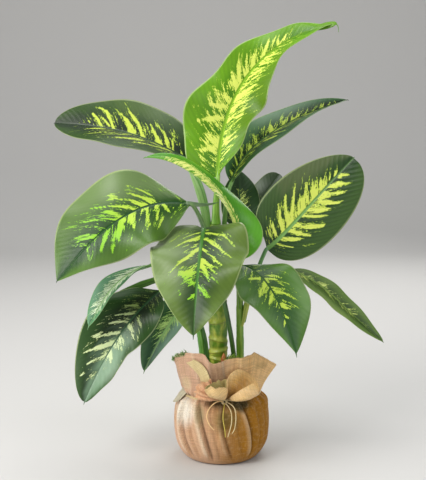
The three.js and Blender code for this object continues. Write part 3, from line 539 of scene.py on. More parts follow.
def bladeParts(leaf, look, drawn):
    # two grids of the blade a thickness apart, a groove over the rib, a round keel under it, a quilting that
    # follows the side veins, which run forward from the rib, a closed margin and the tail
    rows, columns = blade["rows"], blade["columns"]
    t = np.linspace(0, 1, rows)
    s = 0.003 + 0.994 * mix(t, 0.5 - 0.5 * np.cos(np.pi * t), 0.6)
    k = np.linspace(-1, 1, columns)
    s, q = np.meshgrid(s, np.sign(k) * np.abs(k) ** 1.5, indexing="ij")
    length = runLength(bezier(leaf["rib"], np.linspace(0, 1, 200))[0])[-1]
    width = halfWidth(leaf, s, q)[1]
    w = np.abs(q) * width
    slant = bySide(look["slant"], q) + look["turn"] * (s - 0.5)
    vein = length * s - slant * w - look["curve"] * w ** 2
    blot = blotField(drawn, vein, q, width, slant, look["between"]) - look["bare"] * fade(q, 0.02, 0.25)
    quilt = look["quilt"] * np.sin(2 * np.pi * vein / blade["veinGap"])
    quilt = quilt * fade(w, 3, 12) * (1 - fade(np.abs(q), 0.8, 1))
    thin = blade["thickness"] * (1 - 0.5 * np.abs(q) ** 6)
    keelWidth = 1.0 + 2.0 * (1 - s)
    keel = blade["ribDepth"] * (1 - s) * np.sqrt(np.clip(1 - (w / keelWidth) ** 2, 0, 1))
    upper = bladePoint(leaf, s, q, thin + quilt - 0.35 * hill(w, 0, 1.3))
    under = bladePoint(leaf, s, q, -thin + quilt - keel)
    layer = rows * columns
    first = np.arange(columns)
    loop = np.concatenate([first, np.arange(1, rows) * columns + columns - 1,
                           (rows - 1) * columns + first[-2::-1], np.arange(rows - 2, -1, -1) * columns])
    after = np.roll(loop, -1)
    rim = np.stack([loop, loop + layer, after + layer, after], -1)[:-1]
    tailPoints, tailFaces, _ = tailParts(leaf, look["beak"])
    faces = [gridFaces(rows, columns), gridFaces(rows, columns, layer, flip=True), rim]
    faces += [f + 2 * layer for f in tailFaces]
    slots = np.concatenate([np.full(len(f), k == 1) for k, f in enumerate(faces)])
    maps = dict(blade=(s, q, 1.0, 0.0), vein=(vein / 100, np.sign(q) * w / 100, length / 100, 0.0),
                blot=(blot, 0 * blot, -1.0, 0.0))
    for key, (a, b, *atTail) in maps.items():
        side = np.stack([a, b], -1).reshape(-1, 2)
        maps[key] = np.concatenate([side, side, np.tile(atTail, (len(tailPoints), 1))])
    points = np.concatenate([upper.reshape(-1, 3), under.reshape(-1, 3), tailPoints])
    return (points, faces, maps), slots


def stalkParts(leaf):
    # a rod from the seat over two handles to the blade's foot and on under the rib, with a furrow in front
    seat, body, neck = leaf["stalkRadius"]
    t = np.linspace(0, 1, 44)
    line = bezier([*leaf["stalk"], leaf["rib"][0]], t)[0]
    radii = np.where(t < 0.2, mix(seat, body, t / 0.2), mix(body, neck, (t - 0.2) / 0.8))
    s = np.linspace(0.02, 0.17, 7)
    thin = neck * (1 - 4 * s)
    line = np.concatenate([line, bladePoint(leaf, s, 0 * s, -np.maximum(thin, 0.8))])
    radii = np.concatenate([radii, np.maximum(thin, 0.7)])
    padded = np.pad(line, ((2, 2), (0, 0)), mode="edge")
    line = np.stack([np.convolve(padded[:, i], [0.1, 0.2, 0.4, 0.2, 0.1], "valid") for i in range(3)], -1)
    return sweep(line, radii, 20, groove=0.2, toward=(0, -1, 0.2))


def splashGroup():
    # cream streaks that follow the side veins: stretched noise over a threshold that rises with the root of
    # the distance from the rib, foot and tip; and masks for the rib, a painted highlight along the margin,
    # the relief, a painted sheen and a tone
    place, vein, onBlade, seed, density, reach, start, end, coarse, sheen, blot, limeFrom, limeTo, ribWide = (
        beginGroup("leafSplash", dict(
            Place=None, Vein=None, Blade=None, Seed=0.0, Density=0.5, Reach=0.6, Start=0.05, End=0.9,
            Coarse=1.0, Sheen=None, Blot=0.0, LimeFrom=2.0, LimeTo=3.0, RibWide=1.0)))
    a, w, _ = split(vein)
    s, q, _ = split(onBlade)
    absQ, absW = calc("ABSOLUTE", q), calc("ABSOLUTE", w)
    fine = 1.0 / coarse

    def layer(along, across, offset, scale, detail, distortion):
        where = vector(a * (fine * along), w * (fine * across), seed + offset)
        return noise(where, scale, detail, 0.55, distortion) - 0.5

    streak, broad = layer(1.0, 0.27, 0.0, 30, 2.0, 0.7), layer(1.0, 0.3, 5.3, 14, 1.0, 0.5)
    ragged, patch = layer(1.0, 0.5, 3.7, 80, 3.0, 0.6), layer(0.5, 0.4, 9.1, 14, 1.0, 0.0)
    amount = streak * 1.15 + broad * 0.9 + ragged * 1.2 + 0.5 + blot * 0.4
    reach = reach + (patch * 0.7 + broad * 0.7)
    within = (1.0 - ease(absQ, reach - 0.65, reach)) * ease(s, start, start + 0.12)
    within = within * (1.0 - ease(s, end - 0.3, end))
    edge = 1.0 - calc("SQRT", within) * (1.0 - (0.62 - density * 0.3))
    ribWidth = (0.008 + (1.0 - s) * 0.014) * ribWide
    offRib = ease(absW, ribWidth * 0.75, ribWidth * 1.25)
    limy = ease(s, limeFrom, limeTo) * 0.85
    faint = 1.0 - ease(s, 0.6, 0.95) * 0.7
    wave = calc("SINE", a * (2 * math.pi / (blade["veinGap"] / 100)))
    thread = noise(vector(a, w * 0.12, seed), 190, 2.0, 0.5)
    ps, pq, size = split(sheen)
    ds, dq = s - ps, (q - pq) * 0.55
    far = calc("SQRT", ds * ds + dq * dq) + patch * 0.3
    return endGroup(dict(
        Splash=ease(amount, edge, edge + 0.03) * offRib,
        Core=ease(amount, edge + 0.01, edge + 0.14) * (1.0 - limy),
        Outer=ease(absQ + patch * 0.35, 0.15, 0.85),
        Rib=(1.0 - offRib) * faint,
        Relief=wave * 0.3 + thread,
        # painted highlight along the margin
        Line=ease(absQ, 0.955, 0.985),
        Tone=noise(place, 18, 3, 0.6),
        Sheen=1.0 - ease(far, size * 0.2, size)))


leafSplash = splashGroup()
# colours as seen, slant = how far the side veins run forward for each mm outward on the left and right, turn
# and curve = how that changes along the rib and outward, sheen = painted light: place along and across of a
# patch painted as a milky sheen (on the top leaf as painted shade), its size, strength and colour, bare = how
# plain the right half is, limy = where along the blade the cream turns to lime, beak = the half width of a
# broad tip, between = how few streaks grow between the largest ones
usualLook = dict(between=-0.35, bare=0, turn=0, curve=0.005, quilt=0.08, relief=0.3, limy=(2, 3), ribWide=1.0,
                 beak=0, start=-0.04, end=1.0, coarse=1.0)
bladeLooks = dict(
    leaf_top=dict(
        dark=(72, 128, 6), outer=(104, 158, 14), lime=(164, 208, 38), cream=(228, 239, 110),
        rib=(138, 186, 40), ribWide=1.7, under=(120, 170, 60), seed=1.2, between=-0.22, density=0.64,
        reach=0.88, start=-0.02, end=0.98, slant=(0.85, 1.0), turn=0.9, curve=0.002,
        # the sheen patch here is painted shade, a darker right half
        sheen=(0.45, 0.95, 0.5, 0.6, (82, 112, 22)), relief=0.5, quilt=0.14, beak=6.0),
    leaf_upper_left=dict(
        dark=(15, 39, 8), outer=(42, 72, 14), lime=(124, 170, 30), cream=(194, 211, 74), rib=(30, 66, 20),
        under=(110, 140, 90), seed=4.1, between=-0.45, density=0.54, reach=1.0, start=-0.02,
        slant=(1.9, 0.75), sheen=(0.45, 0.95, 0.35, 0.3, (90, 114, 52))),
    leaf_upper_right=dict(
        dark=(14, 40, 11), outer=(48, 96, 44), lime=(126, 182, 46), cream=(206, 224, 88), rib=(60, 104, 48),
        under=(96, 136, 84), seed=7.7, density=0.58, reach=0.78, start=-0.05, end=1.12, coarse=0.85,
        slant=(0.9, 1.0), sheen=(0.4, -0.95, 0.5, 0.45, (104, 142, 104))),
    leaf_crossing=dict(
        dark=(70, 142, 22), outer=(88, 158, 34), lime=(150, 200, 44), cream=(232, 236, 134),
        rib=(110, 176, 50), under=(96, 152, 66), seed=2.9, density=1.1, reach=1.3, bare=1.7, start=0.0,
        coarse=0.8, slant=(1.2, 1.2), sheen=(0.2, 0.5, 0.2, 0.2, (104, 171, 63))),
    leaf_left=dict(
        dark=(25, 67, 14), outer=(80, 115, 42), lime=(130, 200, 30), cream=(190, 219, 74), rib=(18, 70, 20),
        under=(120, 146, 104), seed=11.3, between=-0.6, limy=(0.42, 0.62), density=0.5, reach=0.92,
        end=1.03, coarse=1.15, slant=(0.85, 0.85), sheen=(0.35, 0.95, 0.6, 0.5, (126, 148, 98))),
    leaf_front=dict(
        dark=(31, 60, 14), outer=(88, 114, 40), lime=(126, 192, 28), cream=(184, 205, 72),
        rib=(62, 118, 34), ribWide=1.5, under=(120, 140, 96), seed=14.6, between=-0.75, limy=(0.45, 0.65),
        density=0.5, reach=0.88, end=0.9, coarse=1.1, slant=(0.55, 0.55),
        sheen=(0.35, 0.95, 0.6, 0.5, (136, 158, 104))),
    leaf_right=dict(
        dark=(32, 64, 23), outer=(58, 88, 36), lime=(152, 196, 36), cream=(214, 227, 98),
        rib=(112, 160, 78), ribWide=1.7, under=(110, 138, 90), seed=17.2, between=-0.75, density=0.6,
        reach=0.95, start=-0.03, coarse=1.05, slant=(0.75, 0.75),
        sheen=(0.75, -0.8, 0.3, 0.35, (108, 114, 77)), relief=1.0, quilt=0.3),
    leaf_low_right=dict(
        dark=(45, 86, 32), outer=(82, 124, 46), lime=(140, 186, 30), cream=(198, 224, 80), rib=(48, 94, 34),
        under=(116, 146, 92), seed=21.5, between=-0.6, density=0.52, reach=0.85, start=-0.02, end=0.92,
        slant=(0.8, 0.8), sheen=(0.6, -0.9, 0.3, 0.3, (130, 160, 108))),
    leaf_far_right=dict(
        dark=(52, 80, 24), outer=(96, 126, 50), lime=(140, 172, 60), cream=(206, 222, 120),
        rib=(120, 150, 66), under=(130, 152, 80), seed=25.1, density=0.3, reach=0.6, start=0.0, coarse=0.75,
        slant=(1.3, 1.3), sheen=(0.5, 1.0, 0.3, 0.3, (150, 172, 96))),
    leaf_slim_left=dict(
        dark=(48, 108, 64), outer=(84, 144, 94), lime=(160, 206, 112), cream=(232, 244, 214),
        rib=(176, 214, 150), under=(100, 146, 112), seed=28.8, density=0.78, reach=0.85, coarse=0.7,
        slant=(1.4, 1.4), sheen=(0.6, 0.6, 0.35, 0.35, (129, 169, 144))),
    leaf_low_left=dict(
        dark=(9, 27, 8), outer=(44, 78, 28), lime=(106, 130, 48), limy=(0.55, 0.3), cream=(212, 226, 168),
        rib=(36, 74, 40), under=(100, 132, 100), seed=31.9, between=-0.6, density=0.5, reach=1.0, end=1.02,
        slant=(0.7, 0.95), sheen=(0.82, -0.3, 0.46, 0.62, (136, 172, 136))),
    leaf_small_left=dict(
        dark=(28, 70, 38), outer=(74, 112, 74), lime=(130, 190, 80), cream=(200, 232, 140),
        rib=(166, 212, 126), ribWide=1.5, under=(100, 132, 104), seed=35.4, density=0.62, reach=0.7,
        end=0.95, coarse=0.75, slant=(1.2, 1.2), sheen=(0.6, -0.6, 0.5, 0.6, (124, 160, 138))),
    # dark colours, partly the leaf's own and partly painted shade, as it stands in the shade behind the
    # others
    leaf_back=dict(
        dark=(20, 48, 12), outer=(32, 66, 22), lime=(110, 150, 40), cream=(214, 226, 120), rib=(40, 80, 30),
        under=(60, 92, 50), seed=38.3, density=0.5, reach=0.7, start=-0.05, end=0.8, coarse=0.8,
        slant=(1.0, 1.0), sheen=(0.5, 0.8, 0.2, 0.1, (70, 100, 60))),
    # dim colours and few streaks, partly the leaf's own and partly painted shade, as it stands furthest back
    leaf_far_back=dict(
        dark=(38, 58, 26), outer=(50, 70, 36), lime=(90, 120, 50), cream=(140, 160, 80), rib=(52, 76, 38),
        under=(60, 82, 48), seed=41.7, density=0.1, reach=0.4, start=0.1, end=0.7, slant=(1.0, 1.0),
        sheen=(0.6, -0.6, 0.3, 0.3, (86, 104, 70))))


def bladeMaterial(name, look, upper):
    # the upper side with its splashes, or the paler underside through which they show faintly
    beginMaterial(name, 0.36 if upper else 0.55, 0.4)
    ps, pq, size, strength, paintedLightColour = look["sheen"]
    numbers = {key.capitalize(): look[key] for key in ("seed", "density", "reach", "start", "end", "coarse")}
    out = useGroup(leafSplash, dict(
        Place=spot(), Vein=mapped("vein"), Blade=mapped("blade"), Blot=split(mapped("blot"))[0],
        Sheen=(ps, pq, size), LimeFrom=look["limy"][0], LimeTo=look["limy"][1], RibWide=look["ribWide"],
        **numbers))
    base = blend(out["Outer"], look["dark"], look["outer"])
    splash = blend(out["Core"], look["lime"], look["cream"])
    if not upper:
        base = blend(0.75, base, look["under"])
        splash = blend(0.55, splash, look["under"])
    # painted shade: the furrows along the side veins are darkened
    groove = ease(out["Relief"], 0.3, 0.9) * (0.35 * look["relief"])
    shade = blend(groove, base, blend(0.6, base, (12, 26, 8)))
    shade = blend(ease(out["Tone"], 0.45, 0.75) * 0.25, shade, look["outer"])
    # painted light: the sheen patch, a painted milky sheen (on the top leaf a painted shade), under the
    # splashes and faintly over them
    shade = blend(out["Sheen"] * strength, shade, paintedLightColour)
    colour = blend(out["Splash"], shade, splash)
    colour = blend(out["Rib"], colour, look["rib"])
    colour = blend(out["Sheen"] * (strength * 0.4), colour, paintedLightColour)
    # painted highlight: a pale thin line along the margin
    colour = blend(out["Line"] * 0.5, colour, (186, 200, 140))
    roughness = (0.26 if upper else 0.5) + out["Tone"] * 0.2
    return endMaterial(colour, out["Relief"], 0.0003, 0.15 + 0.5 * look["relief"], roughness)


def stemSpace(u, v, stretch):
    # the map's turn and length as a place round a rod, so that a pattern closes on itself
    turn = u * (2 * math.pi)
    return vector(calc("COSINE", turn), calc("SINE", turn), v * stretch)


def streakGroup():
    # soft lengthwise streaks, and with clouds among them the share of the lighter colour
    given, place = beginGroup("stemStreaks", dict(Map=None, Place=None))
    u, v, _ = split(given)
    streak = noise(stemSpace(u, v, 0.6), 1.4, 4, 0.6)
    cloud = noise(place, 26, 3, 0.6)
    return endGroup(dict(Share=ease(streak * 0.6 + cloud * 0.4, 0.36, 0.64), Streak=streak))


stemStreaks = streakGroup()


def stemMaterial(name, dark, light):
    beginMaterial(name, 0.36)
    out = useGroup(stemStreaks, dict(Map=mapped("stem"), Place=spot()))
    return endMaterial(blend(out["Share"], dark, light), out["Streak"], 0.0003, 0.5)


stalkLooks = dict(
    leaf_top=((112, 166, 54), (164, 206, 90)), leaf_crossing=((90, 150, 50), (130, 184, 80)),
    leaf_upper_left=((96, 150, 74), (142, 184, 112)), leaf_upper_right=((80, 130, 60), (126, 166, 84)),
    leaf_left=((84, 120, 70), (136, 166, 110)), leaf_front=((40, 78, 28), (72, 116, 44)),
    leaf_right=((70, 120, 66), (112, 158, 96)), leaf_low_right=((82, 130, 40), (140, 176, 64)),
    leaf_far_right=((100, 140, 50), (150, 178, 70)), leaf_slim_left=((84, 130, 60), (130, 176, 96)),
    leaf_low_left=((56, 100, 40), (92, 140, 60)), leaf_small_left=((60, 110, 50), (96, 146, 70)),
    leaf_back=((40, 76, 30), (70, 108, 46)), leaf_far_back=((40, 66, 30), (64, 92, 44)))


for name, leaf in leaves.items():
    short = name.replace("leaf_", "")
    look = {**usualLook, **bladeLooks[name]}
    leaf["dents"] = dents.get(name, ())
    grown, slots = bladeParts(leaf, look, blots.get(name, []))
    sides = [bladeMaterial("blade_" + short + side, look, side == "Upper") for side in ("Upper", "Under")]
    makePiece("blade_" + short, grown, sides, name, slots)
    green = stemMaterial("stalk_" + short, *stalkLooks[name])
    makePiece("stalk_" + short, stalkParts(leaf), green, name)
print("leaves:", len(leaves))

# the left leaf's pointed ear, a flat narrow lobe that runs back over its stalk
ear = dict(foot=(-48.0, -45, 431), tip=(-4.0, -26, 432), radius=4.2, sag=2.5,
           colours=((96, 124, 92), (132, 152, 118)))
t = np.linspace(-0.2, 1, 26)
line = mix(np.array(ear["foot"]), np.array(ear["tip"]), t[:, None])
line[:, 2] -= ear["sag"] * np.sin(np.pi * t)
lobe = sweep(line, ear["radius"] * np.clip(1.02 - t, 0.06, 1) ** 0.8, 16, flat=0.32, toward=(0, -1, 0.4))
makePiece("ear_left", lobe, stemMaterial("earLeft", *ear["colours"]), "leaf_left")

# Cane and shoots
cane = dict(joints=[96, 121, 145, 164, 180, 197, 230, 266, 303, 342], foot=45, top=392, radius=15.6,
            topRadius=9.4, taperFrom=250, collar=1.2, waist=0.8, slant=3.2, rows=420, sides=72)


def caneParts():
    # a tapering round stem whose radius swells at each joint; a joint's ring leans by its slant to one side,
    # with a thin scar line on it, and the next one leans the other way
    z = np.linspace(cane["foot"], cane["top"] + 0.2, cane["rows"])
    z, turn = np.meshgrid(z, fullTurn(cane["sides"]), indexing="ij")
    joints = np.array(cane["joints"], float)
    lean = np.where(np.arange(len(joints)) % 2 == 0, 0.5, 3.4)
    away = z[..., None] - (joints + cane["slant"] * np.cos(turn[..., None] - lean))
    nearest = np.argmin(np.abs(away), -1)
    away = np.take_along_axis(away, nearest[..., None], -1)[..., 0]
    taper = np.clip((z - cane["taperFrom"]) / (cane["top"] - cane["taperFrom"]), 0, 1)
    collar = cane["collar"] * hill(away, 0, 3.2) * np.where(away > 0, 1, 0.75)
    radius = (mix(cane["radius"], cane["topRadius"], taper) + collar
              - cane["waist"] * hill(away, 6.5, 4) - 0.4 * hill(away, -1.2, 0.8))
    radius = radius * (1 + 0.02 * np.sin(3 * turn + z / 17))
    points = polar(radius, turn, z)
    points[..., 0] += mix(-5, -9, np.clip((z - 200) / 180, 0, 1))
    maps = {"stem": np.stack([turn / (2 * np.pi), z / 100], -1),
            "ring": np.stack([nearest / 10, away / 10], -1)}
    return points, tubeFaces(cane["rows"], cane["sides"]), maps


def caneMaterial():
    # smooth green bark, yellower in bands over each joint and in soft patches, with a thin scar on the joint
    beginMaterial("caneBark", 0.34)
    u, v, _ = split(mapped("stem"))
    _, away, _ = split(mapped("ring"))
    cloud = noise(stemSpace(u, v, 3.0), 1.1, 3, 0.5, 0.3)
    streak = noise(vector(u * 40.0, v * 2.0), 1.0, 3, 0.6)
    near = 1.0 - ease(calc("ABSOLUTE", away - 0.35), 0.05, 0.8)
    yellow = calc("MINIMUM", near * 0.45 + ease(cloud, 0.4, 0.7), 1.0)
    colour = blend(yellow, (88, 140, 28), (200, 210, 88))
    colour = blend(ease(streak, 0.5, 0.75) * 0.14, colour, (64, 104, 24))
    scar = 1.0 - ease(calc("ABSOLUTE", away + 0.12), 0.02, 0.09)
    colour = blend(scar * 0.6, colour, (112, 98, 44))
    fleck = ease(noise(spot(), 420, 2, 0.5), 0.7, 0.78)
    return endMaterial(blend(fleck * 0.3, colour, (120, 96, 52)), streak * 0.3 + fleck, 0.0003, 0.4)


makePiece("cane_bark", caneParts(), caneMaterial(), "cane_main")

shoots = dict(
    shoot_left=dict(
        line=[(-31, 3, 45), (-31, 2, 110), (-32, 0, 171), (-37, -1, 212), (-44, -2, 240), (-51.5, -3, 264)],
        radii=[5, 5.4, 5.2, 5.2, 5.2, 4.8], sheaths=[0.52, 0.7, 0.86],
        colours=((84, 150, 54), (146, 206, 100))),
    shoot_right=dict(
        line=[(34, 6, 45), (33, 7, 110), (32, 8, 170), (31.5, 8, 220), (31, 8, 263), (30, 7, 296),
              (29, 6, 322)],
        radii=[6, 6.6, 6.4, 6.2, 5.6, 4.2, 1], sheaths=[0.42, 0.62, 0.78],
        colours=((104, 156, 46), (162, 198, 84))))


def alongPoints(points, sizes, count):
    # a smooth line through the points, and the sizes between them
    t = np.linspace(0, 1, count) * (len(points) - 1)
    return throughPoints(points, t), np.interp(t, np.arange(len(sizes)), sizes)


for name, shoot in shoots.items():
    # a round stem whose leaf sheaths end one above the other in a thin step
    line, radii = alongPoints(shoot["line"], shoot["radii"], 150)
    t = np.linspace(0, 1, 150)
    for sheath in shoot["sheaths"]:
        radii = radii + 0.45 * fade(t, sheath - 0.12, sheath) * (1 - fade(t, sheath, sheath + 0.008))
    stem = sweep(line, radii, 28, toward=(0, -1, 0))
    makePiece(name + "_stem", stem, stemMaterial(name, *shoot["colours"]), name)

# pale open sheaths that stand off the right shoot and off the stalks' feet, and a narrow young leaf on edge
sheaths = [
    dict(line=[(35, -1, 220), (40.5, -3, 246), (43.5, -4, 270), (41, -3, 290)], width=[1.6, 4.6, 4.6, 0.5],
         colours=((142, 164, 48), (196, 204, 96))),
    dict(line=[(-23, -5, 150), (-24, -6, 176), (-28, -6, 206), (-37, -5, 240)], width=[3, 3.4, 2.8, 1.2],
         colours=((44, 92, 34), (88, 140, 66))),
    dict(line=[(-22, -2, 372), (-28, -3, 408), (-38, -2, 448), (-54, 4, 486)], width=[3, 5.2, 5.2, 2],
         colours=((120, 168, 90), (168, 204, 134))),
    dict(line=[(-60, -3, 281), (-95, 1, 300), (-132, -2, 292), (-174, -14, 280)], width=[2, 4.5, 6, 0.3],
         colours=((52, 92, 28), (88, 134, 46)))]
for i, sheath in enumerate(sheaths, 1):
    flap = sweep(*alongPoints(sheath["line"], sheath["width"], 30), 20, flat=0.3, toward=(0.3, -1, 0))
    makePiece("sheath_%d" % i, flap, stemMaterial("sheath%d" % i, *sheath["colours"]))

# the bud: a pointed drop with overlapping scales, as rows of bulges that run round it
bud = dict(place=(4, -19, 159), radius=4.9, length=20, lean=-4, rows=60, sides=32,
           colours=((148, 72, 20), (226, 142, 66)))
t, turn = np.meshgrid(np.linspace(0.001, 0.999, bud["rows"]), fullTurn(bud["sides"]), indexing="ij")
radius = bud["radius"] * np.sin(np.pi * t ** 0.62) ** 0.8 * (1 + 0.08 * np.abs(np.sin(1.5 * turn + 7 * t)))
x, y, height = np.moveaxis(polar(radius, turn, bud["length"] * t), -1, 0)
c, s = math.cos(math.radians(bud["lean"])), math.sin(math.radians(bud["lean"]))
points = np.stack([x, y * c - height * s, y * s + height * c], -1) + bud["place"]
maps = {"stem": np.stack([turn / (2 * np.pi), t], -1)}
makePiece("bud_scales", (points, tubeFaces(bud["rows"], bud["sides"]), maps),
          stemMaterial("budScales", *bud["colours"]), "cane_bud")
print("stems ready")


# Pot, soil and moss
def turned(profile, sides, wobble=None):
    # a profile of radius and height turned round the upright axis
    profile = np.array(profile, float)
    r, angle = np.meshgrid(profile[:, 0], fullTurn(sides), indexing="ij")
    points = polar(r, angle, profile[:, 1:2])
    if wobble:
        points[..., 2] += wobble(r, angle)
    maps = {"stem": np.stack(np.broadcast_arrays(angle / (2 * np.pi), profile[:, 1:2] / 100), -1)}
    return points, [gridFaces(len(profile), sides, wrap=True)], maps


potProfile = [(0.01, 1.7), (50, 1.7), (54, 1.7), (54.6, 2.3), (65.7, 76), (66, 77), (68.2, 77.2),
              (68.5, 77.6), (68.5, 84.4), (68, 85), (65, 85), (64.4, 84.5), (64.2, 76), (52.9, 4.2),
              (52, 3.3), (0.01, 3.3)]
beginMaterial("potPlastic", 0.5)
colour = blend(noise(spot(), 60, 3), (30, 30, 31), (48, 48, 50))
plastic = endMaterial(colour, noise(spot(), 900, 2), 0.0001, 0.5)
makePiece("pot_cup", turned(potProfile, 96), plastic, "pot")

soil = dict(foot=3.7, footRadius=51.5, radius=61, top=78.4, dome=3)
soilRings = np.concatenate([[0.01], np.linspace(2, soil["radius"], 60)])[::-1]
soilProfile = [(0.01, soil["foot"]), (soil["footRadius"], soil["foot"])]
soilProfile += [(r, soil["top"] - soil["dome"] * (r / soil["radius"]) ** 2) for r in soilRings]


def soilLumps(r, a):
    # crossed waves of the ring and the turn, none on the foot's two rings or at the rim
    lumps = 1.6 * np.sin(r / 4.1 + 2 * a) * np.cos(5 * a + r / 7) * fade(r, 2, 20)
    lumps = lumps + 0.9 * np.sin(r / 1.9) * np.sin(9 * a)
    return np.where(np.arange(len(r))[:, None] >= 2, lumps * (1 - fade(r, 56, soil["radius"])), 0)


beginMaterial("soilPeat", 0.95, 0.2)
grain = noise(spot(), 260, 5, 0.7)
peat = endMaterial(blend(ease(grain, 0.4, 0.62), (32, 22, 15), (84, 62, 42)), grain, 0.0015)
makePiece("soil_fill", turned(soilProfile, 120, soilLumps), peat, "soil")


def mossBlades(roots, lean, length, width, seed, spread=0.7):
    # each blade is a narrow strip of three steps that bends outward to a point, its way and length at random
    random = np.random.default_rng(seed)
    n = len(roots)
    way = unit(lean + spread * random.normal(size=(n, 3)))
    droop = unit(way + 0.8 * random.normal(size=(n, 3)))
    side = unit(np.cross(way, droop))
    long = length * random.uniform(0.6, 1.3, n)[:, None]
    t = np.array([0, 0.33, 0.66, 1.0])
    middle = (roots[:, None] + way[:, None] * (long * t)[..., None]
              + droop[:, None] * (0.45 * long * t ** 2)[..., None])
    half = (width * np.array([1, 0.9, 0.6, 0.08]))[:, None] * side[:, None]
    over = 0.25 * unit(np.cross(side, way))[:, None] * (1 - t)[:, None]
    points = np.stack([middle - half, middle + over, middle + half], 2)
    start = np.arange(n)[:, None, None] * 12 + np.arange(3)[:, None] * 3
    faces = (start[..., None] + np.array([[0, 1, 4, 3], [1, 2, 5, 4]])).reshape(-1, 4)
    shade = np.repeat(random.uniform(0, 1, n), 12)
    return points.reshape(-1, 3), [faces], {"stem": np.stack([shade, np.tile(np.repeat(t, 3), n)], -1)}


def toneGroup():
    # a tone of its own for each blade, and how far the blade stands in the light, less at its foot
    given, = beginGroup("mossTones", dict(Map=None))
    shade, height, _ = split(given)
    return endGroup(dict(Tone=shade, Lit=ease(height, 0.2, 1.0)))


mossTones = toneGroup()


def mossMaterial(name, dark, light):
    beginMaterial(name, 0.75, 0.3)
    out = useGroup(mossTones, dict(Map=mapped("stem")))
    colour = blend(out["Tone"], dark, light)
    return endMaterial(blend(out["Lit"], blend(0.6, colour, (18, 28, 8)), colour))


moss = dict(front=158, slope=0.16, rim=57, count=5200, rings=34, sides=90,
            wall=[(0.01, 104), (48, 104), (53, 118), (55, 130)])


def mossHeight(x, y):
    # the cushion's top: it falls to the back and to the wall, with round lumps and a hump at the bud
    hump = 31 * hill(x, 19, 12) * hill(y, -30, 11)
    return (moss["front"] - 8 - moss["slope"] * (y + 40) - 9 * fade(np.hypot(x, y), 30, 62) + hump
            + 2.2 * np.sin(x / 5.3 + 1) * np.cos(y / 4.7) + 1.4 * np.sin(x / 2.6) * np.sin(y / 2.9 + 2))


def mossBed():
    # rings of the cushion: the foot, a wall that widens upward, and the top from the rim to the middle
    turn = fullTurn(moss["sides"])
    r, angle = np.meshgrid(np.linspace(0.01, moss["rim"], moss["rings"])[::-1], turn, indexing="ij")
    wall = [polar(radius, turn, z) for radius, z in moss["wall"]]
    top = polar(r, angle, mossHeight(r * np.cos(angle), r * np.sin(angle)))
    points = np.concatenate([np.array(wall), top]).reshape(-1, 3)
    # the bed stands low, so it takes the painted shade of a blade's foot
    maps = {"stem": np.tile([0.25, 0.35], (len(points), 1))}
    return points, [gridFaces(len(points) // moss["sides"], moss["sides"], wrap=True)], maps


random = np.random.default_rng(12)
r = moss["rim"] * np.sqrt(random.uniform(0, 1, moss["count"]))
angle = random.uniform(0, 2 * np.pi, moss["count"])
x, y = r * np.cos(angle), r * np.sin(angle)
roots = np.stack([x, y, mossHeight(x, y) - 0.5], -1)
cushion = joined(mossBed(), mossBlades(roots, np.array([0, 0, 1.0]), length=5.5, width=0.55, seed=5))
makePiece("moss_cushion", cushion, mossMaterial("mossDark", (44, 66, 18), (104, 132, 44)))


def tuft(centres, lean, count, length, width, seed, spread=0.7, scatter=2.5):
    # blades scattered round each centre
    random = np.random.default_rng(seed)
    centres = np.repeat(centres, count, 0)
    centres = centres + scatter * random.normal(size=centres.shape)
    return mossBlades(centres, np.array(lean, float), length, width, seed + 1, spread)


def onMoss(x, y):
    # points on the cushion, a little over its top
    x, y = np.array(x, float), np.array(y, float)
    return np.stack([x, y, mossHeight(x, y) + 1], -1)


# light sprigs at the foot of the stems
byBud = onMoss([10, 14, 18, 22, 27, 33], [-33, -35, -36, -36, -34, -31])
atLeft = onMoss([-22, -40], [-20, -22])
sprigs = joined(
    tuft(byBud, (0.1, -0.5, 0.8), count=26, length=8.5, width=1.3, seed=41, spread=0.6, scatter=1.8),
    tuft(atLeft, (0, -0.4, 0.9), count=18, length=6, width=0.7, seed=43))
makePiece("moss_sprigs", sprigs, mossMaterial("mossSprigs", (146, 200, 66), (206, 232, 128)))
print("pot, soil and moss ready")

# The jute wrap
cloth = dict(
    body=[(0.01, 0), (20, 0), (40, 0), (54, 0), (57.5, 0.3), (63.5, 3.4), (70.5, 13), (76.5, 30), (78.6, 50),
          (78.2, 70), (75.2, 88), (70.5, 101), (63.5, 110)],
    edge=[(8, 71, 128), (24, 72, 131), (40, 76, 139), (70, 77, 143), (100, 82, 147), (130, 78, 144),
          (160, 76, 145), (180, 72, 148), (194, 79, 163), (206, 87, 175), (213, 85, 184), (222, 82, 188.5),
          (233, 81, 190.5), (245, 79, 191), (250, 78, 189), (253, 77, 182), (257, 75, 174), (262, 74, 175),
          (268, 74, 178), (277, 74, 181.5), (288, 74.5, 183.5), (303, 75, 184.5), (309, 75, 185),
          (315, 76, 190), (328, 85, 176.5), (341, 100, 162.5), (346, 88, 150), (353, 76, 136)],
    neck=110, neckRadius=63.5, draw=8, drawWidth=22, columns=440, bodyRows=64, ruffleRows=36, thickness=1.0)
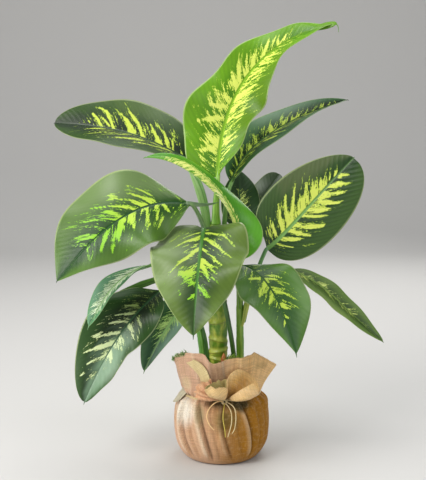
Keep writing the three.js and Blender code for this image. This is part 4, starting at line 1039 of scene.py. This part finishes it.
# knife pleats of the body: their turn at the neck, the middle and the foot, height, and width of the gentle
# and the steep side in degrees; the steep side looks to the right and ends in a furrow
folds = [(194, 192, 204, 3.6, 9, 3.5), (208, 210, 230, 6.4, 10, 2.4), (222, 227, 243, 2.6, 6, 2),
         (233, 246, 256, 6.6, 9, 2.0), (250, 259, 268, 2.0, 5, 2), (270, 270.5, 285, 5.0, 8, 2.0),
         (284, 289, 299, 2.0, 5, 1.6), (295, 305.5, 307, 6.2, 9, 2.2), (314, 321, 318, 2.6, 6, 2.4),
         (329, 334, 330, 3.6, 9, 3), (346, 350, 348, 4.4, 9, 3), (8, 6, 10, 5.4, 9, 3),
         (27, 25, 22, 5.6, 9, 3), (44, 46, 48, 6.2, 9, 3), (66, 66, 62, 5.8, 9, 3), (86, 88, 90, 6.4, 9, 3),
         (109, 108, 104, 6.0, 9, 3), (128, 130, 132, 6.2, 9, 3), (150, 150, 154, 5.8, 9, 3),
         (171, 172, 176, 5.0, 9, 3)]
# soft folds of the ruffle: turn, half width in degrees and height
creases = [(216, 5, 1.6), (240, 4, 2.0), (259, 3, 1.8), (268, 2.2, 1.6), (277, 3, 2.4), (298, 5, 1.8),
           (322, 6, 1.6)]


def turnsApart(a, b):
    return (a - b + 180) % 360 - 180


def near(degrees, at, width, power=2):
    # 1 where the turn is at, falling off over the width in degrees
    return hill(turnsApart(degrees, at), 0, width, power)


def edgeAt(degrees):
    # radius and height of the upper edge, straight between the listed turns with corners rounded over 3
    # degrees
    edge = np.array(cloth["edge"], float)
    edge = np.concatenate([edge[-2:] - (360, 0, 0), edge, edge[:2] + (360, 0, 0)])
    at = [[np.interp((degrees + d) % 360, edge[:, 0], edge[:, i]) for d in (-1.5, 0, 1.5)] for i in (1, 2)]
    return np.mean(at[0], 0), np.mean(at[1], 0)


def foldsAt(degrees, height):
    # sum of the pleats, each with its crest on a curve through its three turns and its furrow past the steep
    # side
    total = 0
    t = height / 105
    for top, middle, foot, high, gentle, steep in folds:
        crest = foot * (1 - t) * (1 - 2 * t) + middle * 4 * t * (1 - t) + top * t * (2 * t - 1)
        d = turnsApart(degrees, crest)
        slopes = hill(d, 0, np.where(d < 0, gentle, steep))
        total = total + high * (slopes - 0.55 * hill(d, 1.7 * steep, 1.1 * steep))
    return total


def creasesAt(degrees):
    return sum(high * near(degrees, at, half) for at, half, high in creases)


def drawnIn(degrees):
    # how far the tie draws the neck in at the front
    return cloth["draw"] * near(degrees, 270, cloth["drawWidth"])


def bodyRadius(degrees, radius, height, gather):
    # the body's profile with its pleats, calmer and gathered at the neck, with a swelling under the tie, a
    # shoulder on the right and a hollow under the knot
    pull = fade(height, 88, 110)
    deep = 1.5 + 1.6 * fade(np.abs(height - cloth["neck"]), 4, 12)
    pleats = fade(height, 2, 30) * (foldsAt(degrees, height) - 1.9) * mix(1, 0.4, pull)
    shoulder = 5 * near(degrees, 352, 16) * hill(height, 94, 9)
    hollow = 8.5 * near(degrees, 274, 22) * hill(height, 99, 9)
    return (radius + pleats + (deep * gather - drawnIn(degrees)) * pull + 1.2 * hill(height, 101, 4)
            + shoulder - hollow)


def ruffleRadius(degrees, v, edgeRadius, edgeHeight, gather):
    # from the neck to the edge, with a frill of three waves that is calm on the two front panels and between
    # them, soft waves of the panels, a swelling over the tie, and the creases
    turn = np.radians(degrees)
    front = turnsApart(degrees, 270)
    panel = near(degrees, 212, 40, 4) + near(degrees, 336, 28, 4)
    calm = near(degrees, 278, 34, 4)
    pleat = (0.62 * np.cos(12 * turn + 0.8 * v) + 0.38 * np.cos(24 * turn + 1.3)
             + 0.2 * np.cos(41 * turn + 3 * v))
    loose = 1 - 0.9 * panel - 0.62 * calm + 0.75 * fade(np.abs(front), 84, 120)
    frill = np.maximum(loose, 0) * (1.5 + 7.5 * v) * pleat
    soft = 2.2 * np.sin(np.pi * v) * np.sin(0.13 * (degrees - 208)) + 1.2 * v * np.sin(0.31 * degrees)
    swell = 4.2 * hill(v * (edgeHeight - cloth["neck"]), 8, 4.5) * (1 + 0.5 * gather) * hill(front, 0, 52, 4)
    return (mix(cloth["neckRadius"] - drawnIn(degrees), edgeRadius, v ** 0.85) + frill + panel * soft + swell
            + 1.5 * gather * (1 - fade(v, 0, 0.45)) + (creasesAt(degrees + 6 * v) - 0.8) * fade(v, 0.1, 0.5))


def clothPoint(u, degrees, inset=0.0):
    # u runs 0 to 1 over the foot and body and 1 to 2 over the ruffle; the neck's narrow gathers are three
    # sines round the pot whose counts share no factor
    turn = np.radians(degrees)
    gather = 0.5 * np.sin(31 * turn) + 0.35 * np.sin(53 * turn + 1.1) + 0.3 * np.sin(19 * turn + 2)
    profile = throughPoints(cloth["body"], np.clip(u, 0, 1) * (len(cloth["body"]) - 1))
    height = np.maximum(profile[..., 1], 0)
    radius = bodyRadius(degrees, profile[..., 0], height, gather)
    v = np.clip(u - 1, 0, 1)
    edgeRadius, edgeHeight = edgeAt(degrees)
    flare = ruffleRadius(degrees, v, edgeRadius, edgeHeight, gather)
    radius = np.where(u > 1, mix(radius, flare, fade(v, 0, 0.06)), radius)
    return polar(radius - inset, turn, np.where(u > 1, mix(cloth["neck"], edgeHeight, v), height))


def onCloth(x, z, outward):
    # a point of the ruffle seen from the front at x and z, found by a few steps of the turn
    degrees = 270 + np.degrees(np.arcsin(np.clip(x / 76, -1, 1)))
    for _ in range(12):
        v = np.clip((z - cloth["neck"]) / (edgeAt(degrees)[1] - cloth["neck"]), 0, 1)
        point = clothPoint(1 + v, degrees, -outward)
        step = 0.6 * np.degrees((x - point[..., 0]) / 76)
        degrees = degrees + step / np.maximum(np.abs(np.sin(np.radians(degrees))), 0.3)
    return point


def clothParts():
    # a grid of points whose last column repeats the first, so that the map can run on over the seam
    bodyRows, ruffleRows = cloth["bodyRows"], cloth["ruffleRows"]
    u = np.concatenate([np.linspace(0, 1, bodyRows, endpoint=False) ** 0.9, np.linspace(1, 2, ruffleRows)])
    u, degrees = np.meshgrid(u, np.linspace(0, 360, cloth["columns"] + 1), indexing="ij")
    points = clothPoint(u, degrees)
    points[:, -1] = points[:, 0]
    steps = np.linalg.norm(np.diff(points, axis=0), axis=-1).mean(1)
    length = np.concatenate([[0], np.cumsum(steps)])[:, None]
    # the second map marks painted light: the pleats' crests, painted lighter, and their furrows, painted
    # darker
    share = np.where(u > 1, 1 - fade(u, 1, 1.3), fade(points[..., 2], 2, 25))
    ridge = foldsAt(degrees, points[..., 2]) * share
    ridge = np.where(u > 1.1, 2.6 * creasesAt(degrees + 6 * (u - 1)), ridge)
    maps = {"weave": np.stack(np.broadcast_arrays(degrees / 360 * 4.9, length / 100), -1),
            "tone": np.stack([fade(ridge, 3.6, 6.6), fade(-ridge, 0.2, 2.6)], -1)}
    return points, [gridFaces(*u.shape)], maps


def weaveGroup():
    # plain weave: two crossing rows of rounded threads, each over the other in turn, with threads that vary,
    # thick places in them and soft clouds
    given, place, count = beginGroup("juteWeave", dict(Map=None, Place=None, Count=62.0))
    mapX, mapY, _ = split(given)
    wobble = (noise(given, 9, 3) - 0.5) * 0.05
    x, y = [(m + wobble) * (count * math.pi) for m in (mapX, mapY)]
    over = ease(calc("COSINE", x * 0.5) * calc("COSINE", y * 0.5), -0.2, 0.2)
    warp, weft = [calc("ABSOLUTE", calc("SINE", thread)) for thread in (x, y)]
    warpTone = noise(vector(mapX * 60.0, mapY * 3.0), 1.0, 2)
    weftTone = noise(vector(mapX * 3.0, mapY * 60.0, 5.0), 1.0, 2)
    return endGroup(dict(Height=warp * over + weft * (1.0 - over), Thread=(warpTone + weftTone) * 0.5,
                         Slub=noise(given, 16, 4, 0.65), Cloud=noise(place, 22, 3, 0.6) - 0.5))


def stainAndLightGroup():
    # 1 in the middle of an ellipsoid, falling off to 0 outside it, with an edge that the clouds fray
    place, middle, size, cloud = beginGroup("juteStainAndLight", dict(Place=None, Middle=None, Size=None, Cloud=0.0))
    for operation, amount in (("SUBTRACT", middle), ("DIVIDE", size)):
        place = Wire(put("ShaderNodeVectorMath", {0: place, 1: amount}, operation=operation).outputs[0])
    far = Wire(put("ShaderNodeVectorMath", {0: place}, operation="LENGTH").outputs["Value"])
    return endGroup(dict(Mask=1.0 - ease(far + cloud * 0.45, 0.3, 1.1)))


juteWeave, juteStainAndLight = weaveGroup(), stainAndLightGroup()
# stains and painted light of the cloth: painted highlights on the lit left side, painted shade in the hollows
# under the knot and under the petal, and other darker and paler patches; middle, size, strength and colour
clothStainsAndLight = [
    # painted highlight on the lit upper left
    ((-64, -44, 88), (28, 40, 32), 0.9, (255, 248, 232)),
    ((-74, -20, 34), (24, 40, 40), 0.35, (230, 196, 178)),
    ((8, -80, 82), (28, 30, 30), 0.85, (108, 92, 36)),
    ((-36, -68, 88), (11, 22, 24), 0.6, (158, 150, 108)),
    # painted shade in the hollows under the knot and under the petal
    ((-2, -66, 107), (34, 34, 14), 0.9, (52, 48, 20)),
    ((32, -62, 103), (28, 34, 14), 0.95, (48, 50, 24)),
    ((-6, -72, 156), (20, 30, 28), 0.65, (122, 92, 64)),
    ((-58, -40, 134), (12, 30, 16), 0.5, (232, 214, 166)),
    ((66, -48, 165), (13, 20, 8), 0.35, (130, 114, 70))]


def juteMaterial(name, left, right, shadow, pale, stainsAndLight=(), ruffleAndPleatLight=False):
    # jute: one colour on the left and one on the right, with slubs, darker thread gaps and paler threads;
    # the ruffle switch adds the ruffle's own colours and painted light on the pleats: crests painted lighter,
    # most on the left, and furrows painted darker; the stains list holds stains and patches of painted light
    # and shade
    beginMaterial(name, 0.9, 0.2, 0.12)
    place = spot()
    out = useGroup(juteWeave, dict(Map=mapped("weave"), Place=place))
    x, _, z = split(place)
    side = x + out["Cloud"] * 0.06
    colour = blend(ease(side, -0.045, 0.045), left, right)
    if ruffleAndPleatLight:
        ruffle = blend(ease(side, -0.03, 0.04), (222, 180, 150), (242, 200, 140))
        colour = blend(ease(z, 0.108, 0.12), colour, ruffle)
        # painted light: crests painted lighter, most on the lit left, and furrows painted darker
        crest, furrow, _ = split(mapped("tone"))
        lit = 0.7 - ease(side, -0.02, 0.04) * 0.3
        colour = blend(crest * lit, colour, blend(0.7, colour, (255, 238, 206)))
        colour = blend(furrow * 0.8, colour, blend(0.65, colour, (58, 38, 18)))
    # stains, and patches of painted light and shade
    for middle, size, strength, tint in stainsAndLight:
        middle, size = [[toMetres * a for a in amount] for amount in (middle, size)]
        stainAndLight = useGroup(juteStainAndLight, dict(Place=place, Middle=middle, Size=size, Cloud=out["Cloud"]))
        colour = blend(stainAndLight["Mask"] * strength, colour, tint)
    colour = blend(ease(out["Slub"], 0.46, 0.7) * 0.25, colour, pale)
    colour = blend(ease(out["Thread"], 0.4, 0.6), blend(0.22, colour, shadow), colour)
    colour = blend((1.0 - ease(out["Height"], 0.05, 0.45)) * 0.4, colour, shadow)
    return endMaterial(colour, out["Height"] + out["Slub"] * 0.6, 0.0005, 0.7)


def clothPiece(name, parts, materials, thickness=0.9, offset=0, inner=0, seam=0):
    # a sheet of jute with its thickness, welded where its first and last columns meet within the seam
    piece = makePiece(name, parts, materials, "wrap")
    if seam:
        piece.modifiers.new("seam", "WELD").merge_threshold = seam * toMetres
    solid = piece.modifiers.new("thickness", "SOLIDIFY")
    solid.material_offset = inner
    solid.thickness = thickness * toMetres
    solid.offset = offset
    return piece


def raysParts(rays, rows, columns, crease=0.0, creases=0, closed=False, ragged=0.0):
    # a sheet through rays of points, smooth along and across the rays, with creases that deepen to the rim,
    # which runs out in short ragged tongues; a closed one ends on its first ray again
    rays = np.array(rays, float)
    n, inRay, _ = rays.shape
    a = np.linspace(0, n if closed else n - 1, rows, endpoint=not closed)
    along = throughPoints(rays.reshape(n, -1), a, closed).reshape(rows, inRay, 3)
    v = np.linspace(0, inRay - 1, columns)
    points = throughPoints(np.moveaxis(along, 1, 0).reshape(inRay, -1), v).reshape(columns, rows, 3)
    points = np.moveaxis(points, 0, 1)
    t = a / a.max()
    v = v / v.max()
    normal = unit(np.cross(np.gradient(points, axis=0), np.gradient(points, axis=1)))
    depth = crease * np.sin(2 * np.pi * creases * t + 1.7 * np.sin(7 * t))
    tongues = sum(high * np.sin(2 * np.pi * count * t + start)
                  for high, count, start in ((1, 5.3, 0), (0.8, 9.1, 1), (0.5, 23, 0)))
    points = points + normal * (depth[:, None] * v ** 0.8)[..., None]
    points = points + unit(np.gradient(points, axis=1)) * (ragged * tongues[:, None] * v ** 4)[..., None]
    steps = [np.linalg.norm(np.gradient(points, axis=i), axis=-1) for i in (0, 1)]
    weave = np.stack([np.cumsum(steps[i], i) for i in (0, 1)], -1) / 100
    if closed:
        points = np.concatenate([points, points[:1]])
        weave = np.concatenate([weave, weave[-1:] + (weave[-1:] - weave[-2:-1])])
    return points, [gridFaces(len(points), columns)], {"weave": weave}


jute = juteMaterial("juteCloth", left=(214, 170, 134), right=(170, 115, 18), shadow=(92, 62, 34),
                    pale=(222, 190, 138), stainsAndLight=clothStainsAndLight, ruffleAndPleatLight=True)
wrapCloth = clothPiece("wrap_cloth", clothParts(), jute, cloth["thickness"], -1, seam=0.02)

# the front corner, folded out like a calla: rays from the knot round the back of its hollow to the rolled lip
petalRays = [
    [(8, -66, 115), (7.5, -70, 126), (7.5, -75, 137), (8, -76, 147.9)],
    [(9, -65, 115), (11, -69, 130), (13, -72, 145), (15, -75, 159.6)],
    [(10, -65, 115), (16, -68, 130), (22, -71, 148), (26.9, -75, 166.5)],
    [(10, -64, 114), (22, -66, 128), (31, -68, 145), (38.5, -70, 162)],
    [(11, -64, 114), (26, -65, 124), (40, -63, 138), (50.1, -62, 152.5)],
    [(11, -64, 113), (28, -67, 120), (46, -64, 130), (58, -64, 141)],
    [(11, -65, 113), (26, -75, 115), (46, -77, 121), (60.5, -75, 131)],
    [(11, -66, 113), (25, -83, 116), (43, -91, 121), (58.5, -85, 128)],
    [(11, -67, 114), (23, -86, 121), (38, -96, 129), (57, -91, 138)],
    [(10, -67, 115), (19, -81, 126), (31, -91, 137.5), (50, -90, 148)]]
# on the petal: painted shade at its foot by the knot, a browner patch of painted shade in its hollow, and a
# painted highlight on the rolled lip
foldStainsAndLight = [
    ((13, -67, 121), (16, 9, 20), 0.85, (92, 62, 26)), ((26, -66, 140), (30, 12, 32), 0.75, (222, 170, 84)),
    ((44, -84, 132), (24, 16, 14), 0.6, (250, 214, 176))]
foldJute = juteMaterial("juteFold", left=(240, 206, 148), right=(244, 204, 138), shadow=(122, 84, 46),
                        pale=(246, 226, 190), stainsAndLight=foldStainsAndLight)
petal = clothPiece("wrap_petal", raysParts(petalRays, rows=120, columns=50, crease=0.5, creases=7), foldJute)

# a small cup left of the petal, greenish inside, and the crumpled gathers further left, as two sheets of rays
cupRays = [
    [(4, -70, 116), (-6, -72, 123), (-15, -75, 131), (-23, -78, 139)],
    [(4, -69, 116), (-3, -70, 124), (-10, -71, 133), (-15, -72, 143)],
    [(5, -68, 116), (0, -69, 126), (-4, -70, 135), (-7, -71, 146)],
    [(5, -68, 116), (3, -69, 127), (1, -70, 137), (0, -71, 147)],
    [(6, -68, 116), (6, -69, 127), (6.5, -71, 139), (6.5, -73, 149)],
    [(7, -70, 116), (8, -76, 123), (9, -81, 131), (8, -80, 139)],
    [(6, -71, 115), (4, -81, 120), (2, -87, 129), (1, -86, 139)],
    [(5, -71, 115), (0, -81, 119), (-5, -88, 128), (-8, -88, 140)],
    [(4, -71, 115), (-6, -79, 118), (-15, -85, 127), (-19, -86, 140)],
    [(4, -70, 115), (-8, -76, 118), (-20, -81, 124), (-27, -82, 135)]]
crumpleRays = [
    [(-8, -71, 120), (-12, -71, 130), (-15, -72, 139), (-17, -72, 148)],
    [(-9, -71, 120), (-16, -72, 129), (-22, -74, 137), (-27, -74, 145)],
    [(-10, -72, 119), (-20, -74, 127), (-29, -76, 133), (-38, -74, 142)],
    [(-10, -73, 118), (-21, -77, 123), (-32, -79, 128), (-42, -75, 133)],
    [(-10, -73, 117), (-21, -78, 119), (-33, -79, 122), (-43, -74, 125)],
    [(-9, -72, 116), (-19, -76, 116), (-30, -76, 118), (-40, -72, 119)],
    [(-4, -70, 114), (-14, -73, 113.5), (-24, -73, 114.5), (-33, -70, 116)]]
rosetteJute = juteMaterial("juteRosette", left=(240, 188, 146), right=(226, 180, 134), shadow=(132, 84, 50),
                           pale=(250, 224, 176))
greenJute = juteMaterial("juteCup", left=(192, 176, 112), right=(184, 162, 100), shadow=(110, 94, 50),
                         pale=(220, 208, 150))
hollow = raysParts(cupRays, rows=96, columns=34, crease=1.2, creases=4, closed=True, ragged=1.1)
cup = clothPiece("wrap_cup", hollow, [foldJute, greenJute], thickness=0.8, inner=1)
crumple = raysParts(crumpleRays, rows=150, columns=34, crease=3.2, creases=5.3, ragged=1.1)
frills = clothPiece("wrap_rosette", crumple, rosetteJute, thickness=0.8)

# the pale folded strip that slants down over the left flap, between its two edges as seen from the front
stripEdges = [[(-57.5, 173), (-46, 163.5), (-38, 154), (-34.5, 145), (-33, 134)],
              [(-44.5, 181.3), (-33, 174), (-24.5, 164), (-19.5, 151), (-18, 136)]]
t, v = np.meshgrid(np.linspace(0, 4, 70), np.linspace(0, 1, 18), indexing="ij")
across = mix(*[throughPoints(edge, t) for edge in stripEdges], v[..., None])
points = onCloth(across[..., 0], across[..., 1], 2.6 + 1.2 * np.sin(np.pi * v) - 0.5 * fade(t, 3, 4))
paleJute = juteMaterial("juteStrip", left=(232, 212, 158), right=(226, 204, 146), shadow=(150, 116, 70),
                        pale=(240, 226, 184))
folded = (points, [gridFaces(*t.shape)], {"weave": np.stack([v * 0.17, t * 0.14], -1)})
strip = clothPiece("wrap_strip", folded, paleJute)

# the loose corner under the strip at the neck
cornerRays = [
    [(-62, -12, 121), (-68, -14, 113), (-75, -17, 104), (-81, -21, 96)],
    [(-61, -20, 119), (-69, -22, 111), (-75, -23, 103), (-80, -23, 96)],
    [(-60, -27, 117), (-67, -28, 110), (-73, -28, 103), (-78, -25, 96.5)],
    [(-58, -34, 115), (-64, -34, 109), (-69, -32, 103), (-75, -27, 97)]]
greyJute = juteMaterial("juteCorner", left=(206, 198, 172), right=(206, 198, 172), shadow=(120, 108, 80),
                        pale=(228, 222, 200))
loose = raysParts(cornerRays, rows=30, columns=30, crease=0.7, creases=2)
corner = clothPiece("wrap_corner", loose, greyJute)


def frayParts(count, seed):
    # loose threads along the cloth's upper edge: each a thin three-sided tube of four steps, bent at random
    random = np.random.default_rng(seed)
    degrees = random.uniform(0, 360, count)
    root, below = [clothPoint(np.full(count, u), degrees) for u in (1.995, 1.9)]
    way = unit(unit(root - below) + 0.5 * random.normal(size=(count, 3)))
    bend = unit(random.normal(size=(count, 3)))
    long = random.uniform(1, 3.6, count)[:, None]
    t = np.linspace(0, 1, 5)
    middle = (root[:, None] + way[:, None] * (long * t)[..., None]
              + bend[:, None] * (0.5 * long * t ** 2)[..., None])
    first = unit(np.cross(way, bend))
    second = unit(np.cross(way, first))
    turn = fullTurn(3)[:, None]
    ring = 0.13 * (np.cos(turn) * first[:, None] + np.sin(turn) * second[:, None])
    points = middle[:, :, None] + ring[:, None] * np.array([1, 0.9, 0.8, 0.6, 0.3])[:, None, None]
    k = np.arange(3)
    quads = np.stack([k, (k + 1) % 3, (k + 1) % 3 + 3, k + 3], -1)
    start = np.arange(count)[:, None, None, None] * 15 + np.arange(4)[:, None, None] * 3
    ends = np.arange(count)[:, None] * 15 + np.array([12, 13, 14])
    maps = {"weave": np.tile([0.1, 0.1], (count * 15, 1))}
    return points, [(start + quads).reshape(-1, 4), ends], maps


fray = makePiece("wrap_fray", frayParts(count=520, seed=8), rosetteJute, "wrap")

# moss that hangs over the cloth's left corner
centres = clothPoint(np.full(9, 1.99), np.linspace(200, 222, 9), 1.0) + np.array([0, 0, -0.5])
hanging = tuft(centres, (-0.6, -0.45, 0.35), count=26, length=4.2, width=0.6, seed=31, scatter=1.3)
makePiece("moss_left", hanging, mossMaterial("mossLeft", (122, 172, 92), (200, 232, 160)))
print("wrap ready")

# The raffia tie
raffia = dict(off=2.4, strands=3, radius=0.95, wind=0.9, twist=14, around=260, knot=(5, -62.6, 108.4),
              knotHalf=(4.2, 2.2, 2.6), knotTilts=(0.2, 1.1, 2.1), knotRadius=1.15, endRadius=0.8)


def fibreGroup():
    # fibres that run along the strand
    given, = beginGroup("raffiaFibres", dict(Map=None))
    u, v, _ = split(given)
    fibre = noise(vector(u * 14.0, v * 2.5), 1.0, 4, 0.6)
    return endGroup(dict(Share=ease(fibre, 0.35, 0.65), Fibre=fibre))


raffiaFibres = fibreGroup()


def raffiaMaterial(name, dark, light):
    beginMaterial(name, 0.5, 0.4, 0.1)
    out = useGroup(raffiaFibres, dict(Map=mapped("stem")))
    return endMaterial(blend(out["Share"], dark, light), out["Fibre"], 0.0002, 0.8)


straw = raffiaMaterial("raffiaStraw", (180, 154, 98), (238, 222, 176))
yellow = raffiaMaterial("raffiaYellow", (168, 146, 40), (222, 206, 100))
orange = raffiaMaterial("raffiaOrange", (222, 176, 110), (248, 216, 160))


def ringStrand(index):
    # one strand: it circles the tie's middle line, which follows the cloth's neck, as it runs round the pot
    t = np.linspace(0, 1, raffia["around"], endpoint=False)
    degrees = 360 * t + 275
    phase = 2 * np.pi * (raffia["twist"] * t + index / raffia["strands"])
    radius = cloth["neckRadius"] - drawnIn(degrees) + raffia["off"] + raffia["wind"] * np.cos(phase)
    line = polar(radius, np.radians(degrees), cloth["neck"] + raffia["wind"] * np.sin(phase))
    return sweep(np.concatenate([line, line[:2]]), raffia["radius"], 8, flat=0.75)


def knotLoop(tilt):
    # one turn of the knot: an ellipse tilted about the line of sight
    t = np.linspace(0, 1, 48)
    wide, deep, high = raffia["knotHalf"]
    x, z = wide * np.cos(2 * np.pi * t), high * np.sin(2 * np.pi * t)
    y = -deep * np.cos(4 * np.pi * t + tilt) * 0.6
    c, s = math.cos(tilt), math.sin(tilt)
    line = np.stack([c * x - s * z, y, s * x + c * z], -1) + raffia["knot"]
    return sweep(line, raffia["knotRadius"], 10, flat=0.8)


loops = [ringStrand(i) for i in range(raffia["strands"])] + [knotLoop(tilt) for tilt in raffia["knotTilts"]]
makePiece("tie_strands", joined(*loops), straw, "tie")

# the loose ends lie where their solids lie
tieEnds = dict(
    tie_end_left=[
        (0.9, -65.1, 109.6), (-3, -67.6, 110.8), (-7.4, -70.6, 110.8), (-11.8, -73.8, 109.3),
        (-15.8, -76.6, 106.7), (-19.3, -78.8, 103.2), (-21.9, -80.4, 99), (-23.5, -81.5, 94.5),
        (-24, -82.5, 90), (-23.5, -83, 85.5), (-22, -83.5, 81), (-20, -84, 77), (-17.5, -84, 73.5),
        (-15, -84, 70.5), (-12.5, -84, 68)],
    tie_end_middle=[
        (4.6, -65.4, 105.6), (4.2, -68.4, 102.7), (3.6, -71.6, 99.8), (3, -74.6, 96.8), (2.5, -77.3, 93.4),
        (2.2, -79.6, 89.6), (2.2, -81.5, 85.4), (2.8, -82.8, 81.1), (3.5, -83.6, 77), (4.2, -84.2, 73),
        (5, -84.5, 69), (5.5, -84.6, 65), (5.8, -84.5, 61.5), (6, -84.3, 58.5), (6, -84, 56)],
    tie_end_right=[
        (8.9, -65.5, 108.4), (12.2, -69.2, 108), (15.6, -73, 107), (18.6, -76.3, 105), (20.9, -79, 102),
        (22.2, -81, 98), (22.8, -82.3, 93.5), (23, -83.2, 89), (22.9, -83.8, 84.5), (22.6, -84.2, 80),
        (22, -84.4, 75.5), (21.2, -84.5, 71.5), (20, -84.4, 68), (18.6, -84.2, 65), (17, -84, 62.5)],
    tie_end_inner=[
        (7.1, -65.6, 106.1), (9.4, -69, 104.5), (11.7, -72.5, 102.5), (13.6, -75.6, 100), (15, -78.3, 97),
        (15.8, -80.3, 93.5), (16.2, -81.8, 89.5), (16.3, -82.8, 85), (16, -83.6, 80.5), (15.3, -84.2, 76),
        (14.2, -84.6, 71.5), (13, -84.8, 67), (11.8, -84.8, 63), (10.8, -84.6, 59.5), (10, -84.3, 56.5)])
endColours = dict(tie_end_left=orange, tie_end_middle=yellow, tie_end_right=straw, tie_end_inner=straw)
for name, route in tieEnds.items():
    line = throughPoints(route, np.linspace(0, len(route) - 1, 90))
    strand = sweep(line, raffia["endRadius"], 12)
    strand = makePiece(name + "_strand", strand, endColours[name], name)
print("tie ready")

# Floor, light and surroundings
# the floor curves up behind the plant into a wall: straight, a quarter turn and straight again
studio = dict(near=-4000.0, bend=2200, bendRadius=1200, top=5200, half=5000.0, under=0.5,
              grey=(206, 205, 203))
beginMaterial("floorPale", 0.8, 0.3)
bench["shader"].inputs["Base Color"].default_value = srgb(*studio["grey"])
turn = np.linspace(0, np.pi / 2, 24)
quarter = studio["bendRadius"] * np.stack([np.sin(turn), 1 - np.cos(turn)], -1) + (studio["bend"], 0)
end = (studio["bend"] + studio["bendRadius"], studio["top"])
profile = np.concatenate([[(studio["near"], 0)], quarter, [end]])
x, k = np.meshgrid([-studio["half"], studio["half"]], np.arange(len(profile)), indexing="ij")
points = np.stack([x, profile[k][..., 0], profile[k][..., 1] - studio["under"]], -1)
floor = addMesh("floor", (points, [gridFaces(2, len(profile), flip=True)], {}), bench["material"])

lights = dict(
    key=dict(place=(-1.5, -1.7, 2.0), size=1.3, power=46, colour=(1.0, 0.98, 0.95)),
    fill=dict(place=(1.9, -1.5, 1.2), size=1.8, power=16, colour=(0.96, 0.98, 1.0)),
    top=dict(place=(0.1, 0.2, 2.5), size=1.6, power=26, colour=(1.0, 1.0, 1.0)),
    window=dict(place=(-2.0, -0.5, 0.7), size=1.1, power=20, colour=(1.0, 0.99, 0.97)),
    behind=dict(place=(0.6, 1.8, 1.4), size=1.2, power=14, colour=(1.0, 0.99, 0.96)))
aimedAt = (0, 0, 0.35)
for name, light in lights.items():
    lamp = addObject(name, bpy.data.lights.new(name, "AREA"))
    lamp.location = light["place"]
    lamp.data.size = light["size"]
    lamp.data.energy = light["power"]
    lamp.data.color = light["colour"]
    x, y, z = np.array(aimedAt) - light["place"]
    lamp.rotation_euler = (math.atan2(math.hypot(x, y), -z), 0, math.atan2(y, x) - math.pi / 2)

surroundings = dict(colour=(226, 227, 228), strength=0.42)
world = bpy.data.worlds.new("studio")
bpy.context.scene.world = world
world.use_nodes = True
sky = world.node_tree.nodes["Background"].inputs
sky["Color"].default_value = srgb(*surroundings["colour"])
sky["Strength"].default_value = surroundings["strength"]
bpy.context.scene.view_settings.view_transform = "Standard"
print("stage ready")
